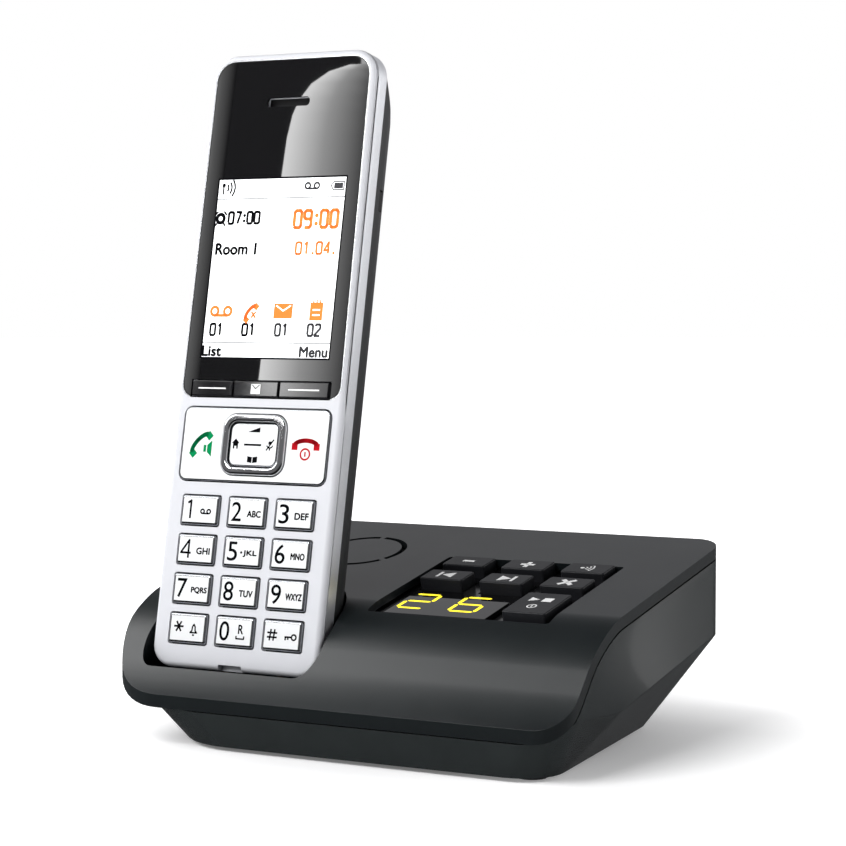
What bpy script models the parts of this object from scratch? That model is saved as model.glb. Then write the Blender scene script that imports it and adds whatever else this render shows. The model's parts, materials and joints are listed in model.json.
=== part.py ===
"""A cordless phone standing in its charging base, which is also an answering machine.

Metres, +Z up. The base's front faces -Y and its width runs along X. The origin is on the
surface that the base stands on, under the middle of the base. The handset stands in a well
at the left, leaning back. Its pieces are drawn in the handset's own frame: x across, y from
its front face towards its back, z along its length from its lower end. The keypad's pieces
are drawn in the deck's frame, where z = 0 is the sloping deck.
"""

from math import cos, pi, radians, sin, tan

import bmesh
import bpy
from mathutils import Vector

# --- Base: driving dimensions ---
BASE_WIDTH = 0.1328
BASE_DEPTH = 0.0926
FOOT_HEIGHT = 0.0010          # the lower housing stands this far above the surface
DECK_HEIGHT = 0.0392          # the deck's height at Y = 0
DECK_SLOPE = radians(11.94)   # the deck rises to the rear
SHOULDER_Y = -0.0148          # where the deck starts to curve down to the front
SHOULDER_RADIUS = 0.0332
FALL_ANGLE = radians(49.1)    # the steepest slope, between the shoulder and the toe
FALL_RUN = 0.0040
TOE_RADIUS = 0.0418
LID_THICKNESS = 0.0020
RIM_HEIGHT = 0.0028           # the lid's edge band
SEAM = 0.0004
WALL = 0.0020
FRONT_LEFT_RADIUS = 0.0200
FRONT_RIGHT_RADIUS = 0.0080
REAR_RADIUS = 0.0080

# The hull under the band: corners of its foot outline and of the outline that its sides
# would reach at HULL_TOP, both as (x, y), and the radii of the corners.
HULL_TOP = 0.0480
FOOT_CORNERS = ((-0.0490, -0.0437), (0.0615, -0.0437), (0.0475, 0.0410), (-0.0475, 0.0410))
FLARE_CORNERS = ((-0.0990, -0.0570), (0.0835, -0.0570), (0.0830, 0.0510), (-0.0830, 0.0510))
FOOT_RADII = (0.0220, 0.0100, 0.0080, 0.0080)
FLARE_RADII = (0.0240, 0.0100, 0.0080, 0.0080)

# --- Handset: driving dimensions ---
HANDSET_X = -0.0321
HANDSET_FOOT = (-0.0338, 0.0181)   # (Y, Z) of the lower edge of its front face
HANDSET_LEAN = radians(10.84)
HANDSET_LENGTH = 0.1585
HANDSET_WIDTH = 0.0498
COVER_DEPTH = 0.0018
BAND_START = 0.0021
BAND_END = 0.0059
REAR_START = 0.0062
HANDSET_DEPTH = 0.0252
SHELL_WALL = 0.0016
TOP_RADIUS = 0.0071
BOTTOM_RADIUS = 0.0056
GAP = 0.0003                       # between pieces that touch
KEY_GAP = 0.00035

# Dial keys: column and row pitch, cap size, height of the lowest row above the lower end
DIAL_PITCH_X = 0.0142
DIAL_PITCH_Z = 0.0100
DIAL_SIZE = (0.0114, 0.0075)
DIAL_LOW_ROW = 0.0098
KEY_PROUD = 0.0006
KEY_BACK = 0.0026
DIAL_NAMES = (("star", "0", "hash"), ("7", "8", "9"), ("4", "5", "6"), ("1", "2", "3"))

LENS_Z = (0.0690, 0.1567)
LENS_HALF = (0.0238, 0.0224)   # at its lower end and at its top
LENS_DEPTH = 0.0009
SCREEN_HALF = 0.0199
SCREEN_Z = (0.0785, 0.1262)
SOFT_Z = (0.0691, 0.0731)
SOFT_EDGES = (-0.0209, -0.0081, 0.0057, 0.0207)
PLATE_HALF = 0.0220
PLATE_Z = (0.0474, 0.0662)
NAV_CENTRE_Z = 0.0569
RING_SIZE = (0.0189, 0.0154)
PAD_SIZE = (0.0145, 0.0110)
EARPIECE_SLOT = ((-0.0070, 0.0060), (0.1443, 0.1467))

# Base keypad: recess corners in X and Y, and the keys as (name, x, y, width, depth)
RECESS_X = (-0.0004, 0.0500)
RECESS_Y = (-0.0212, 0.0206)
TRAY_DROP = 0.0026
BASE_KEY_SIZE = (0.0122, 0.0073)
BASE_KEYS = (
    ("volume_down", 0.0077, 0.0165, *BASE_KEY_SIZE),
    ("volume_up", 0.0248, 0.0165, *BASE_KEY_SIZE),
    ("paging", 0.0418, 0.0165, *BASE_KEY_SIZE),
    ("previous", 0.0077, 0.0050, *BASE_KEY_SIZE),
    ("next", 0.0248, 0.0050, *BASE_KEY_SIZE),
    ("delete", 0.0418, 0.0050, *BASE_KEY_SIZE),
    ("play_stop", 0.0418, -0.0111, 0.0118, 0.0150),
)
DISPLAY_X = (0.0035, 0.0320)
DISPLAY_Y = (-0.0200, -0.0070)

SPEAKER_X, SPEAKER_Y = -0.0280, 0.0212
SLIT_RADII = (0.0113, 0.0123)

SATIN_BLACK = (0.030, 0.032, 0.034)
GLOSS_BLACK = (0.008, 0.008, 0.009)
SILVER = (0.62, 0.63, 0.66)


# --- Scene, materials and mesh helpers ---
def cleared_collections():
    """Empties the scene and returns the collections of the parts and of the cutters."""
    for old in list(bpy.data.objects):
        bpy.data.objects.remove(old, do_unlink=True)
    made = []
    for name in ("cordless_phone_with_base", "cutters"):
        collection = bpy.data.collections.new(name)
        bpy.context.scene.collection.children.link(collection)
        made.append(collection)
    return made


PARTS, CUTTERS = cleared_collections()


def finish(name, colour, roughness, metallic=0.0):
    material = bpy.data.materials.new(name)
    material.use_nodes = True
    shader = material.node_tree.nodes["Principled BSDF"]
    shader.inputs["Base Color"].default_value = (*colour, 1.0)
    shader.inputs["Roughness"].default_value = roughness
    shader.inputs["Metallic"].default_value = metallic
    return material


def add_object(name, shape, looks=None, parent=None, location=(0, 0, 0)):
    """Turns a bmesh into an object: a part with its own material, or a cutter if looks is None."""
    bmesh.ops.recalc_face_normals(shape, faces=shape.faces)
    mesh = bpy.data.meshes.new(name)
    shape.to_mesh(mesh)
    shape.free()
    made = bpy.data.objects.new(name, mesh)
    made.parent = parent
    made.location = location
    if looks is None:
        CUTTERS.objects.link(made)
        made.hide_render = True
        made.display_type = "WIRE"
    else:
        PARTS.objects.link(made)
        mesh.materials.append(finish(name, *looks))
    return made


def empty(name, location, rotation, parent=None):
    made = bpy.data.objects.new(name, None)
    made.location = location
    made.rotation_euler = rotation
    made.parent = parent
    PARTS.objects.link(made)
    return made


def boolean(target, cutter, operation):
    modifier = target.modifiers.new(cutter.name, "BOOLEAN")
    modifier.operation = operation
    modifier.object = cutter
    modifier.solver = "EXACT"


def cut(target, *cutters):
    for cutter in cutters:
        boolean(target, cutter, "DIFFERENCE")


def round_edges(target, width, segments=2, angle=50):
    modifier = target.modifiers.new("rounded_edges", "BEVEL")
    modifier.width = width
    modifier.segments = segments
    modifier.limit_method = "ANGLE"
    modifier.angle_limit = radians(angle)


def smooth(target, angle=35):
    target.data.shade_smooth()
    target.data.set_sharp_from_angle(angle=radians(angle))


def rounded_outline(corners, radii, steps=5):
    """Points of a convex outline, given anticlockwise, with an arc at each corner."""
    points = []
    for index, corner in enumerate(corners):
        here = Vector(corner)
        before = (Vector(corners[index - 1]) - here).normalized()
        after = (Vector(corners[(index + 1) % len(corners)]) - here).normalized()
        half = before.angle(after) / 2
        centre = here + (before + after).normalized() * (radii[index] / sin(half))
        start = here + before * (radii[index] / tan(half)) - centre
        sweep = pi - 2 * half
        for step in range(steps + 1):
            turn = sweep * step / steps
            offset = Vector((start.x * cos(turn) - start.y * sin(turn),
                             start.x * sin(turn) + start.y * cos(turn)))
            points.append(tuple(centre + offset))
    return points


def rectangle(x_range, y_range):
    (x0, x1), (y0, y1) = x_range, y_range
    return [(x0, y0), (x1, y0), (x1, y1), (x0, y1)]


def rounded_rectangle(x_range, y_range, radius, steps=4):
    return rounded_outline(rectangle(x_range, y_range), [radius] * 4, steps)


def prism(points, low, high, axis="Z"):
    """A flat outline extruded from low to high along an axis. The outline's two coordinates
    are the other two axes, in the order XY, XZ or YZ."""
    place = {
        "Z": lambda u, v, w: (u, v, w),
        "Y": lambda u, v, w: (u, w, v),
        "X": lambda u, v, w: (w, u, v),
    }[axis]
    shape = bmesh.new()
    face = shape.faces.new([shape.verts.new(place(u, v, low)) for u, v in points])
    moved = bmesh.ops.extrude_face_region(shape, geom=[face])["geom"]
    shift = Vector(place(0, 0, high)) - Vector(place(0, 0, low))
    bmesh.ops.translate(shape, verts=[v for v in moved if isinstance(v, bmesh.types.BMVert)], vec=shift)
    return shape


def box(low, high):
    shape = bmesh.new()
    bmesh.ops.create_cube(shape, size=1.0)
    size = [b - a for a, b in zip(low, high)]
    middle = [(a + b) / 2 for a, b in zip(low, high)]
    bmesh.ops.scale(shape, verts=shape.verts, vec=size)
    bmesh.ops.translate(shape, verts=shape.verts, vec=middle)
    return shape


def cylinder(radius, low, high, centre=(0, 0), segments=20, top_radius=None):
    shape = bmesh.new()
    bmesh.ops.create_cone(
        shape,
        cap_ends=True,
        segments=segments,
        radius1=radius,
        radius2=radius if top_radius is None else top_radius,
        depth=high - low,
    )
    bmesh.ops.translate(shape, verts=shape.verts, vec=(*centre, (low + high) / 2))
    return shape


def loft(rings):
    """A closed skin over rings of points, all with the same number of points."""
    shape = bmesh.new()
    rows = [[shape.verts.new(point) for point in ring] for ring in rings]
    for lower, upper in zip(rows, rows[1:]):
        for index, vertex in enumerate(lower):
            after = (index + 1) % len(lower)
            shape.faces.new((vertex, lower[after], upper[after], upper[index]))
    shape.faces.new(rows[0])
    shape.faces.new(rows[-1])
    return shape


# --- The base's side profile ---
def side_profile(inset, front=-0.075, rear=0.075, steps=9):
    """(y, z) along the lid's upper surface moved inwards by inset, from rear to front."""
    def arc(centre_y, centre_z, radius, first, last):
        return [(centre_y - radius * sin(a), centre_z + radius * cos(a))
                for a in (first + (last - first) * n / steps for n in range(steps + 1))]

    start_z = DECK_HEIGHT + SHOULDER_Y * tan(DECK_SLOPE)
    shoulder_y = SHOULDER_Y + SHOULDER_RADIUS * sin(DECK_SLOPE)
    shoulder_z = start_z - SHOULDER_RADIUS * cos(DECK_SLOPE)
    points = [(rear, DECK_HEIGHT + rear * tan(DECK_SLOPE) - inset / cos(DECK_SLOPE))]
    points += arc(shoulder_y, shoulder_z, SHOULDER_RADIUS - inset, DECK_SLOPE, FALL_ANGLE)
    fall_y = shoulder_y - SHOULDER_RADIUS * sin(FALL_ANGLE) - FALL_RUN
    fall_z = shoulder_z + SHOULDER_RADIUS * cos(FALL_ANGLE) - FALL_RUN * tan(FALL_ANGLE)
    toe_y = fall_y - TOE_RADIUS * sin(FALL_ANGLE)
    toe_z = fall_z + TOE_RADIUS * cos(FALL_ANGLE)
    level = radians(18)
    turned = [FALL_ANGLE + (level - FALL_ANGLE) * n / steps for n in range(steps + 1)]
    reach = TOE_RADIUS + inset
    points += [(toe_y + reach * sin(a), toe_z - reach * cos(a)) for a in turned]
    last_y, last_z = points[-1]
    points.append((front, last_z + (front - last_y) * tan(level)))
    return points


def base_outline(inset, steps=7):
    x = BASE_WIDTH / 2 - inset
    y = BASE_DEPTH / 2 - inset
    corners = ((-x, -y), (x, -y), (x, y), (-x, y))
    radii = (FRONT_LEFT_RADIUS, FRONT_RIGHT_RADIUS, REAR_RADIUS, REAR_RADIUS)
    return rounded_outline(corners, [radius - inset for radius in radii], steps)


def hull(inset, floor):
    """The tapered hull, from the height floor up to past the deck, moved inwards by inset."""
    def moved(corners):
        signs = ((1, 1), (-1, 1), (-1, -1), (1, -1))
        return [Vector((x + sx * inset, y + sy * inset)) for (x, y), (sx, sy) in zip(corners, signs)]

    rings = []
    for height in (floor, HULL_TOP + 0.012):
        share = (height - FOOT_HEIGHT) / (HULL_TOP - FOOT_HEIGHT)
        corners = [a.lerp(b, share) for a, b in zip(moved(FOOT_CORNERS), moved(FLARE_CORNERS))]
        radii = [max(a + (b - a) * share - inset, 0.002) for a, b in zip(FOOT_RADII, FLARE_RADII)]
        outline = rounded_outline(corners, radii, 7)
        rings.append([(x, y, height) for x, y in outline])
    return loft(rings)


def sheet_prism(upper, lower):
    """What lies between the side profile moved in by upper and by lower, across the base."""
    outline = side_profile(upper) + list(reversed(side_profile(lower)))
    return prism(outline, -0.1, 0.1, "X")


def everything_above(inset):
    outline = side_profile(inset) + [(-0.075, 0.12), (0.075, 0.12)]
    return prism(outline, -0.1, 0.1, "X")


# --- Frames ---
HANDSET = empty("handset_frame", (HANDSET_X, *HANDSET_FOOT), (-HANDSET_LEAN, 0, 0))
DECK = empty("deck_frame", (0, 0, DECK_HEIGHT), (DECK_SLOPE, 0, 0))


def on_deck(x, y, z=0.0):
    """A place in the deck's frame for a plan position and a height above the deck."""
    return (x, y / cos(DECK_SLOPE), z)


def deck_range(y_range):
    return tuple(y / cos(DECK_SLOPE) for y in y_range)


# --- Base ---
# The well's outline around the handset's foot: (half-width, depth) from front to rear
WELL_HALF = ((0.0262, -0.0052), (0.0260, 0.0040), (0.0252, 0.0090), (0.0239, 0.0122), (0.0222, 0.0152),
             (0.0199, 0.0182), (0.0170, 0.0212), (0.0136, 0.0237), (0.0100, 0.0252), (0.0050, 0.0262))
WELL_FLOOR = -0.0005
TUB_WALL = 0.0016
CONTACT_X = 0.0085
CONTACT_DEPTH = 0.0108


def well_solid(grow, top):
    """The handset's well, moved outwards by grow, as a solid in the handset's frame."""
    middle = 0.0105
    right = []
    for half, depth in WELL_HALF[1:]:
        away = Vector((half, depth - middle))
        right.append(tuple(away * (1 + grow / away.length) + Vector((0, middle))))
    half, front = WELL_HALF[0][0] + grow, WELL_HALF[0][1] - grow
    corner = 0.0050 + grow
    bends = [radians(90 * n / 4) for n in range(5)]
    right = [(half - corner + corner * sin(a), front + corner - corner * cos(a)) for a in bends] + right
    left = [(-x, y) for x, y in reversed(right)]
    return prism(right + left, WELL_FLOOR - grow, top)


def top_shell():
    """The lid: an S-shaped sheet with an edge band, and the handset's well below it."""
    lid = add_object("base_top_shell", sheet_prism(0.0, RIM_HEIGHT), (SATIN_BLACK, 0.42))
    boolean(lid, add_object("lid_outline", prism(base_outline(0.0), -0.02, 0.12)), "INTERSECT")
    hollow = add_object("lid_hollow", sheet_prism(LID_THICKNESS, RIM_HEIGHT + 0.004))
    boolean(hollow, add_object("lid_inside", prism(base_outline(WALL), -0.03, 0.13)), "INTERSECT")
    cut(lid, hollow)
    tub = add_object("tub_outside", well_solid(TUB_WALL, 0.06), parent=HANDSET)
    cut(tub, add_object("tub_trim", everything_above(LID_THICKNESS / 2)))
    boolean(tub, add_object("tub_limits", hull(WALL + SEAM, FOOT_HEIGHT + WALL)), "INTERSECT")
    boolean(lid, tub, "UNION")
    cut(lid, add_object("well_space", well_solid(0.0, 0.07), parent=HANDSET))
    for side in (-1, 1):
        slot = box((side * CONTACT_X - 0.0014, CONTACT_DEPTH - 0.0028, -0.006),
                   (side * CONTACT_X + 0.0014, CONTACT_DEPTH + 0.0028, 0.002))
        cut(lid, add_object(f"contact_slot_{side}", slot, parent=HANDSET))
    recess = rounded_rectangle(RECESS_X, deck_range(RECESS_Y), 0.0009, 2)
    cut(lid, add_object("keypad_opening", prism(recess, -0.010, 0.006), parent=DECK))
    cut(lid, *slit_cutters())
    smooth(lid)
    return lid


def slit_cutters():
    """Three arcs of the ring-shaped sound slit, with a bridge between each two."""
    inner, outer = SLIT_RADII
    bridge = radians(7)
    made = []
    for index in range(3):
        first = radians(90 + 120 * index) + bridge / 2
        last = first + radians(120) - bridge
        angles = [first + (last - first) * n / 12 for n in range(13)]
        outline = [(outer * cos(a), outer * sin(a)) for a in angles]
        outline += [(inner * cos(a), inner * sin(a)) for a in reversed(angles)]
        place = on_deck(SPEAKER_X, SPEAKER_Y)
        made.append(add_object(f"sound_slit_{index}", prism(outline, -0.005, 0.004),
                               parent=DECK, location=place))
    return made


LINE_SOCKET_X, POWER_SOCKET_X = -0.0100, 0.0200
SOCKET_Z = 0.0310
SOCKET_SIZES = {"line": (0.0124, 0.0100, 0.0140), "power": (0.0100, 0.0080, 0.0120)}
SCREW_PLACES = ((-0.0400, 0.0180), (0.0400, 0.0180))
FOOT_PLACES = ((-0.0330, -0.0345), (0.0530, -0.0350), (0.0405, 0.0330), (-0.0405, 0.0330))
FOOT_RADIUS = 0.0040


def socket_box(kind, grow, behind=0.0):
    x = LINE_SOCKET_X if kind == "line" else POWER_SOCKET_X
    width, height, length = SOCKET_SIZES[kind]
    rear = BASE_DEPTH / 2
    return box((x - width / 2 - grow, rear - length - grow, SOCKET_Z - height / 2 - grow),
               (x + width / 2 + grow, rear - 0.0006 + behind, SOCKET_Z + height / 2 + grow))


def bottom_shell():
    """The hull: open at the top, with its upper edge just under the lid's band."""
    shell = add_object("base_bottom_shell", hull(0.0, FOOT_HEIGHT), (SATIN_BLACK, 0.35))
    boolean(shell, add_object("hull_outline", prism(base_outline(0.0), -0.02, 0.12)), "INTERSECT")
    cut(shell, add_object("above_seam", everything_above(RIM_HEIGHT + SEAM)))
    space = add_object("hull_space", hull(WALL, FOOT_HEIGHT + WALL))
    boolean(space, add_object("hull_inside", prism(base_outline(WALL), -0.02, 0.13)), "INTERSECT")
    cut(shell, space)
    for index, (x, y) in enumerate(SCREW_PLACES):
        floor = FOOT_HEIGHT + WALL
        boss = add_object(f"screw_boss_{index}", cylinder(0.0042, floor - 0.001, 0.0130, (x, y)))
        boolean(shell, boss, "UNION")
        bore = add_object(f"screw_bore_{index}", cylinder(0.0016, -0.002, 0.020, (x, y)))
        head = add_object(f"screw_head_space_{index}", cylinder(0.0031, -0.002, 0.0035, (x, y)))
        cut(shell, bore, head)
    for kind in SOCKET_SIZES:
        cut(shell, add_object(f"{kind}_socket_opening", socket_box(kind, GAP, 0.004)))
    smooth(shell)
    return shell


def feet():
    for index, (x, y) in enumerate(FOOT_PLACES):
        pad = cylinder(FOOT_RADIUS - 0.0004, 0.0, FOOT_HEIGHT - 0.0001, (0, 0), 16, FOOT_RADIUS)
        names = ("front_left", "front_right", "rear_right", "rear_left")
        foot = add_object(f"foot_{names[index]}", pad, ((0.02, 0.02, 0.02), 0.8), location=(x, y, 0))
        smooth(foot)


def turned(name, profile, looks, location, parent=None, steps=20):
    """A round piece from a profile of (radius, height), listed from its top down."""
    mesh = bpy.data.meshes.new(name)
    edges = [(n, n + 1) for n in range(len(profile) - 1)]
    mesh.from_pydata([(radius, 0, height) for radius, height in profile], edges, [])
    made = bpy.data.objects.new(name, mesh)
    made.location = location
    made.parent = parent
    PARTS.objects.link(made)
    mesh.materials.append(finish(name, *looks))
    screw = made.modifiers.new("turned", "SCREW")
    screw.steps = screw.render_steps = steps
    screw.use_merge_vertices = True
    screw.merge_threshold = 0.00005
    return made


def screws():
    for index, (x, y) in enumerate(SCREW_PLACES):
        profile = ((0, 0.0120), (0.0013, 0.0110), (0.0013, 0.0033), (0.0028, 0.0032), (0.0028, 0.0016),
                   (0.0012, 0.0013), (0.0010, 0.0022), (0, 0.0022))
        side = "left" if index == 0 else "right"
        turned(f"housing_screw_{side}", profile, ((0.5, 0.5, 0.52), 0.3, 1.0), (x, y, 0), steps=12)


def sockets():
    for kind in SOCKET_SIZES:
        x = LINE_SOCKET_X if kind == "line" else POWER_SOCKET_X
        width, height, length = SOCKET_SIZES[kind]
        body = add_object(f"{kind}_socket", socket_box(kind, 0.0), ((0.02, 0.02, 0.02), 0.5))
        wall = 0.0012
        rear = BASE_DEPTH / 2
        hole = box((x - width / 2 + wall, rear - length + wall, SOCKET_Z - height / 2 + wall),
                   (x + width / 2 - wall, rear + 0.002, SOCKET_Z + height / 2 - wall))
        cut(body, add_object(f"{kind}_socket_hole", hole))


def loudspeaker():
    profile = ((0.0, -0.0036), (0.0040, -0.0042), (0.0098, -0.0030), (0.0132, -0.0027), (0.0132, -0.0045),
               (0.0100, -0.0070), (0.0065, -0.0072), (0.0065, -0.0105), (0.0, -0.0105))
    place = on_deck(SPEAKER_X, SPEAKER_Y)
    smooth(turned("loudspeaker", profile, ((0.03, 0.03, 0.03), 0.6), place, DECK))


def keypad():
    """Tray, display, circuit board and the seven keys, all square to the deck."""
    y0, y1 = deck_range(RECESS_Y)
    tray_points = rounded_rectangle((RECESS_X[0] - 0.0008, RECESS_X[1] + 0.0015),
                                    (y0 + GAP, y1 + 0.0015), 0.0012, 2)
    tray = add_object("keypad_tray", prism(tray_points, -TRAY_DROP - 0.0014, -TRAY_DROP),
                      (GLOSS_BLACK, 0.3), DECK)
    for name, x, y, width, depth in BASE_KEYS:
        w, d = width / 2 + KEY_GAP, depth / 2 + KEY_GAP
        centre = Vector(on_deck(x, y))
        hole = rectangle((centre.x - w, centre.x + w), (centre.y - d, centre.y + d))
        cut(tray, add_object(f"hole_{name}", prism(hole, -0.0080, 0.0), parent=DECK))
        base_key(name, centre, width, depth)
    dy0, dy1 = deck_range(DISPLAY_Y)
    opening = rectangle((DISPLAY_X[0] + 0.0015, DISPLAY_X[1] - 0.0015), (dy0 + 0.0015, dy1 - 0.0015))
    cut(tray, add_object("display_opening", prism(opening, -0.0080, 0.0), parent=DECK))
    window = prism(rectangle(DISPLAY_X, (dy0, dy1)), -TRAY_DROP + GAP, -TRAY_DROP + 0.0013)
    add_object("display_window", window, (GLOSS_BLACK, 0.05), DECK)
    module = prism(rectangle((DISPLAY_X[0] + 0.002, DISPLAY_X[1] - 0.002), (dy0 + 0.002, dy1 - 0.002)),
                   -0.0072, -TRAY_DROP - 0.0002)
    add_object("display_module", module, ((0.05, 0.05, 0.05), 0.4), DECK)
    board = rectangle((RECESS_X[0] + 0.0005, RECESS_X[1] + 0.0045), (y0 + 0.0005, y1 + 0.0085))
    add_object("base_circuit_board", prism(board, -0.0092, -0.0076), ((0.02, 0.12, 0.05), 0.5), DECK)


def base_key(name, centre, width, depth):
    cap = prism(rounded_rectangle((-width / 2, width / 2), (-depth / 2, depth / 2), 0.0006, 2),
                -0.0062, 0.0006)
    key = add_object(f"key_{name}", cap, (SATIN_BLACK, 0.4), DECK, centre)
    round_edges(key, 0.0003, 1, 60)


def charging_contacts():
    """Two sprung contacts that stand out of the well's floor, one at each side."""
    for side, name in ((-1, "left"), (1, "right")):
        profile = ((-0.0024, -0.0045), (0.0024, -0.0045), (0.0024, -0.0010), (0.0010, 0.0002),
                   (-0.0010, 0.0002), (-0.0024, -0.0010))
        blade = prism(profile, -0.0010, 0.0010, "X")
        add_object(f"charging_contact_{name}", blade, ((0.75, 0.65, 0.4), 0.25, 1.0), HANDSET,
                   (side * CONTACT_X, CONTACT_DEPTH, 0))


# --- Handset ---
def handset_outline(inset, steps=5):
    x = HANDSET_WIDTH / 2 - inset
    corners = rectangle((-x, x), (inset, HANDSET_LENGTH - inset))
    radii = [max(r - inset, 0.001) for r in (BOTTOM_RADIUS, BOTTOM_RADIUS, TOP_RADIUS, TOP_RADIUS)]
    return rounded_outline(corners, radii, steps)


def dial_places():
    for row, names in enumerate(DIAL_NAMES):
        for column, name in enumerate(names):
            yield name, (column - 1) * DIAL_PITCH_X, DIAL_LOW_ROW + row * DIAL_PITCH_Z


def soft_places():
    names = ("left", "message", "right")
    for name, x0, x1 in zip(names, SOFT_EDGES, SOFT_EDGES[1:]):
        yield name, (x0 + KEY_GAP / 2, x1 - KEY_GAP / 2)


def lens_outline(grow):
    """The lens's outline with the soft keys' notch left out of it."""
    (low, high), (lower, upper) = LENS_Z, LENS_HALF
    corners = ((-lower - grow, low - grow), (lower + grow, low - grow),
               (upper + grow, high + grow), (-upper - grow, high + grow))
    radii = [radius + grow for radius in (0.0032, 0.0032, 0.0052, 0.0052)]
    return rounded_outline(corners, radii, 4)


def soft_key_space(grow, below=0.0):
    """The notch at the lens's lower edge that the soft keys fill."""
    return box((SOFT_EDGES[0] - grow, -0.003, SOFT_Z[0] - grow - below),
               (SOFT_EDGES[-1] + grow, 0.006, SOFT_Z[1] + grow))


def front_cover():
    cover = add_object("handset_front_cover", prism(handset_outline(0.0), 0.0, COVER_DEPTH, "Y"),
                       (SILVER, 0.35, 0.8), HANDSET)
    round_edges(cover, 0.0008, 2, 60)
    half_window = SCREEN_HALF + 0.0013
    window = rectangle((-half_window, half_window), (SCREEN_Z[0] - 0.002, SCREEN_Z[1] + 0.003))
    plate = rounded_rectangle((-PLATE_HALF - KEY_GAP, PLATE_HALF + KEY_GAP),
                              (PLATE_Z[0] - KEY_GAP, PLATE_Z[1] + KEY_GAP), 0.0024, 3)
    pocket = add_object("lens_pocket", prism(lens_outline(GAP), -0.001, LENS_DEPTH + 0.0002, "Y"),
                        parent=HANDSET)
    soft = add_object("cover_soft_key_space", soft_key_space(KEY_GAP), parent=HANDSET)
    cut(cover, pocket, soft)
    for name, outline in (("window", window), ("call_plate", plate)):
        cut(cover, add_object(f"cover_{name}_opening", prism(outline, -0.002, 0.004, "Y"), parent=HANDSET))
    w, h = DIAL_SIZE[0] / 2 + KEY_GAP, DIAL_SIZE[1] / 2 + KEY_GAP
    for name, x, z in dial_places():
        hole = prism(rectangle((x - w, x + w), (z - h, z + h)), -0.002, 0.004, "Y")
        cut(cover, add_object(f"cover_hole_{name}", hole, parent=HANDSET))
    (x0, x1), (z0, z1) = EARPIECE_SLOT
    slot = box((x0, -0.001, z0), (x1, 0.004, z1))
    cut(cover, add_object("cover_earpiece_slot", slot, parent=HANDSET))
    microphone = box((-0.0042, -0.001, -0.001), (0.0028, 0.0010, 0.0010))
    cut(cover, add_object("cover_microphone_notch", microphone, parent=HANDSET))


def display():
    lens = add_object("display_lens", prism(lens_outline(0.0), 0.0001, LENS_DEPTH, "Y"),
                      (GLOSS_BLACK, 0.03), HANDSET)
    slot = prism(rounded_rectangle(*EARPIECE_SLOT, 0.0010, 3), -0.001, 0.003, "Y")
    cut(lens, add_object("lens_earpiece_slot", slot, parent=HANDSET))
    cut(lens, add_object("lens_soft_key_notch", soft_key_space(KEY_GAP, 0.002), parent=HANDSET))
    module = box((-SCREEN_HALF - 0.0008, LENS_DEPTH + GAP, SCREEN_Z[0] - 0.001),
                 (SCREEN_HALF + 0.0008, 0.0038, SCREEN_Z[1] + 0.002))
    add_object("lcd_module", module, ((0.9, 0.9, 0.92), 0.3), HANDSET)


def side_band():
    band = add_object("handset_side_band", prism(handset_outline(0.0001), BAND_START, BAND_END, "Y"),
                      (SILVER, 0.3, 0.9), HANDSET)
    inside = add_object("band_inside", prism(handset_outline(SHELL_WALL), 0.0, 0.01, "Y"), parent=HANDSET)
    cut(band, inside)


# The back's sections: depth; how far the sides, the lower end and the top draw in there; and the
# radii of the lower and of the upper corners
BACK_SECTIONS = (
    (REAR_START, 0.0003, 0.0003, 0.0003, 0.0056, 0.0071),
    (0.0090, 0.0006, 0.0005, 0.0015, 0.0060, 0.0110),
    (0.0120, 0.0017, 0.0016, 0.0036, 0.0062, 0.0120),
    (0.0150, 0.0035, 0.0032, 0.0061, 0.0066, 0.0120),
    (0.0180, 0.0059, 0.0055, 0.0096, 0.0070, 0.0115),
    (0.0210, 0.0089, 0.0086, 0.0142, 0.0070, 0.0105),
    (0.0236, 0.0124, 0.0122, 0.0202, 0.0068, 0.0090),
    (HANDSET_DEPTH, 0.0164, 0.0180, 0.0292, 0.0050, 0.0060),
)


def back_solid(inset, start, deepest):
    """The back as a solid, moved inwards by inset and closed at the depths start and deepest."""
    rings = []
    for depth, sides, lower, upper, low_radius, top_radius in BACK_SECTIONS:
        x = HANDSET_WIDTH / 2 - sides - inset
        low, high = lower + inset, HANDSET_LENGTH - upper - inset
        radii = [max(r - inset, 0.001) for r in (low_radius, low_radius, top_radius, top_radius)]
        outline = rounded_outline(rectangle((-x, x), (low, high)), radii, 4)
        place = start if depth == REAR_START else min(depth, deepest)
        rings.append([(u, place, v) for u, v in outline])
        if depth >= deepest:
            break
    return loft(rings)


COVER_X = 0.0140
COVER_Z = (0.0400, 0.0990)


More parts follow.
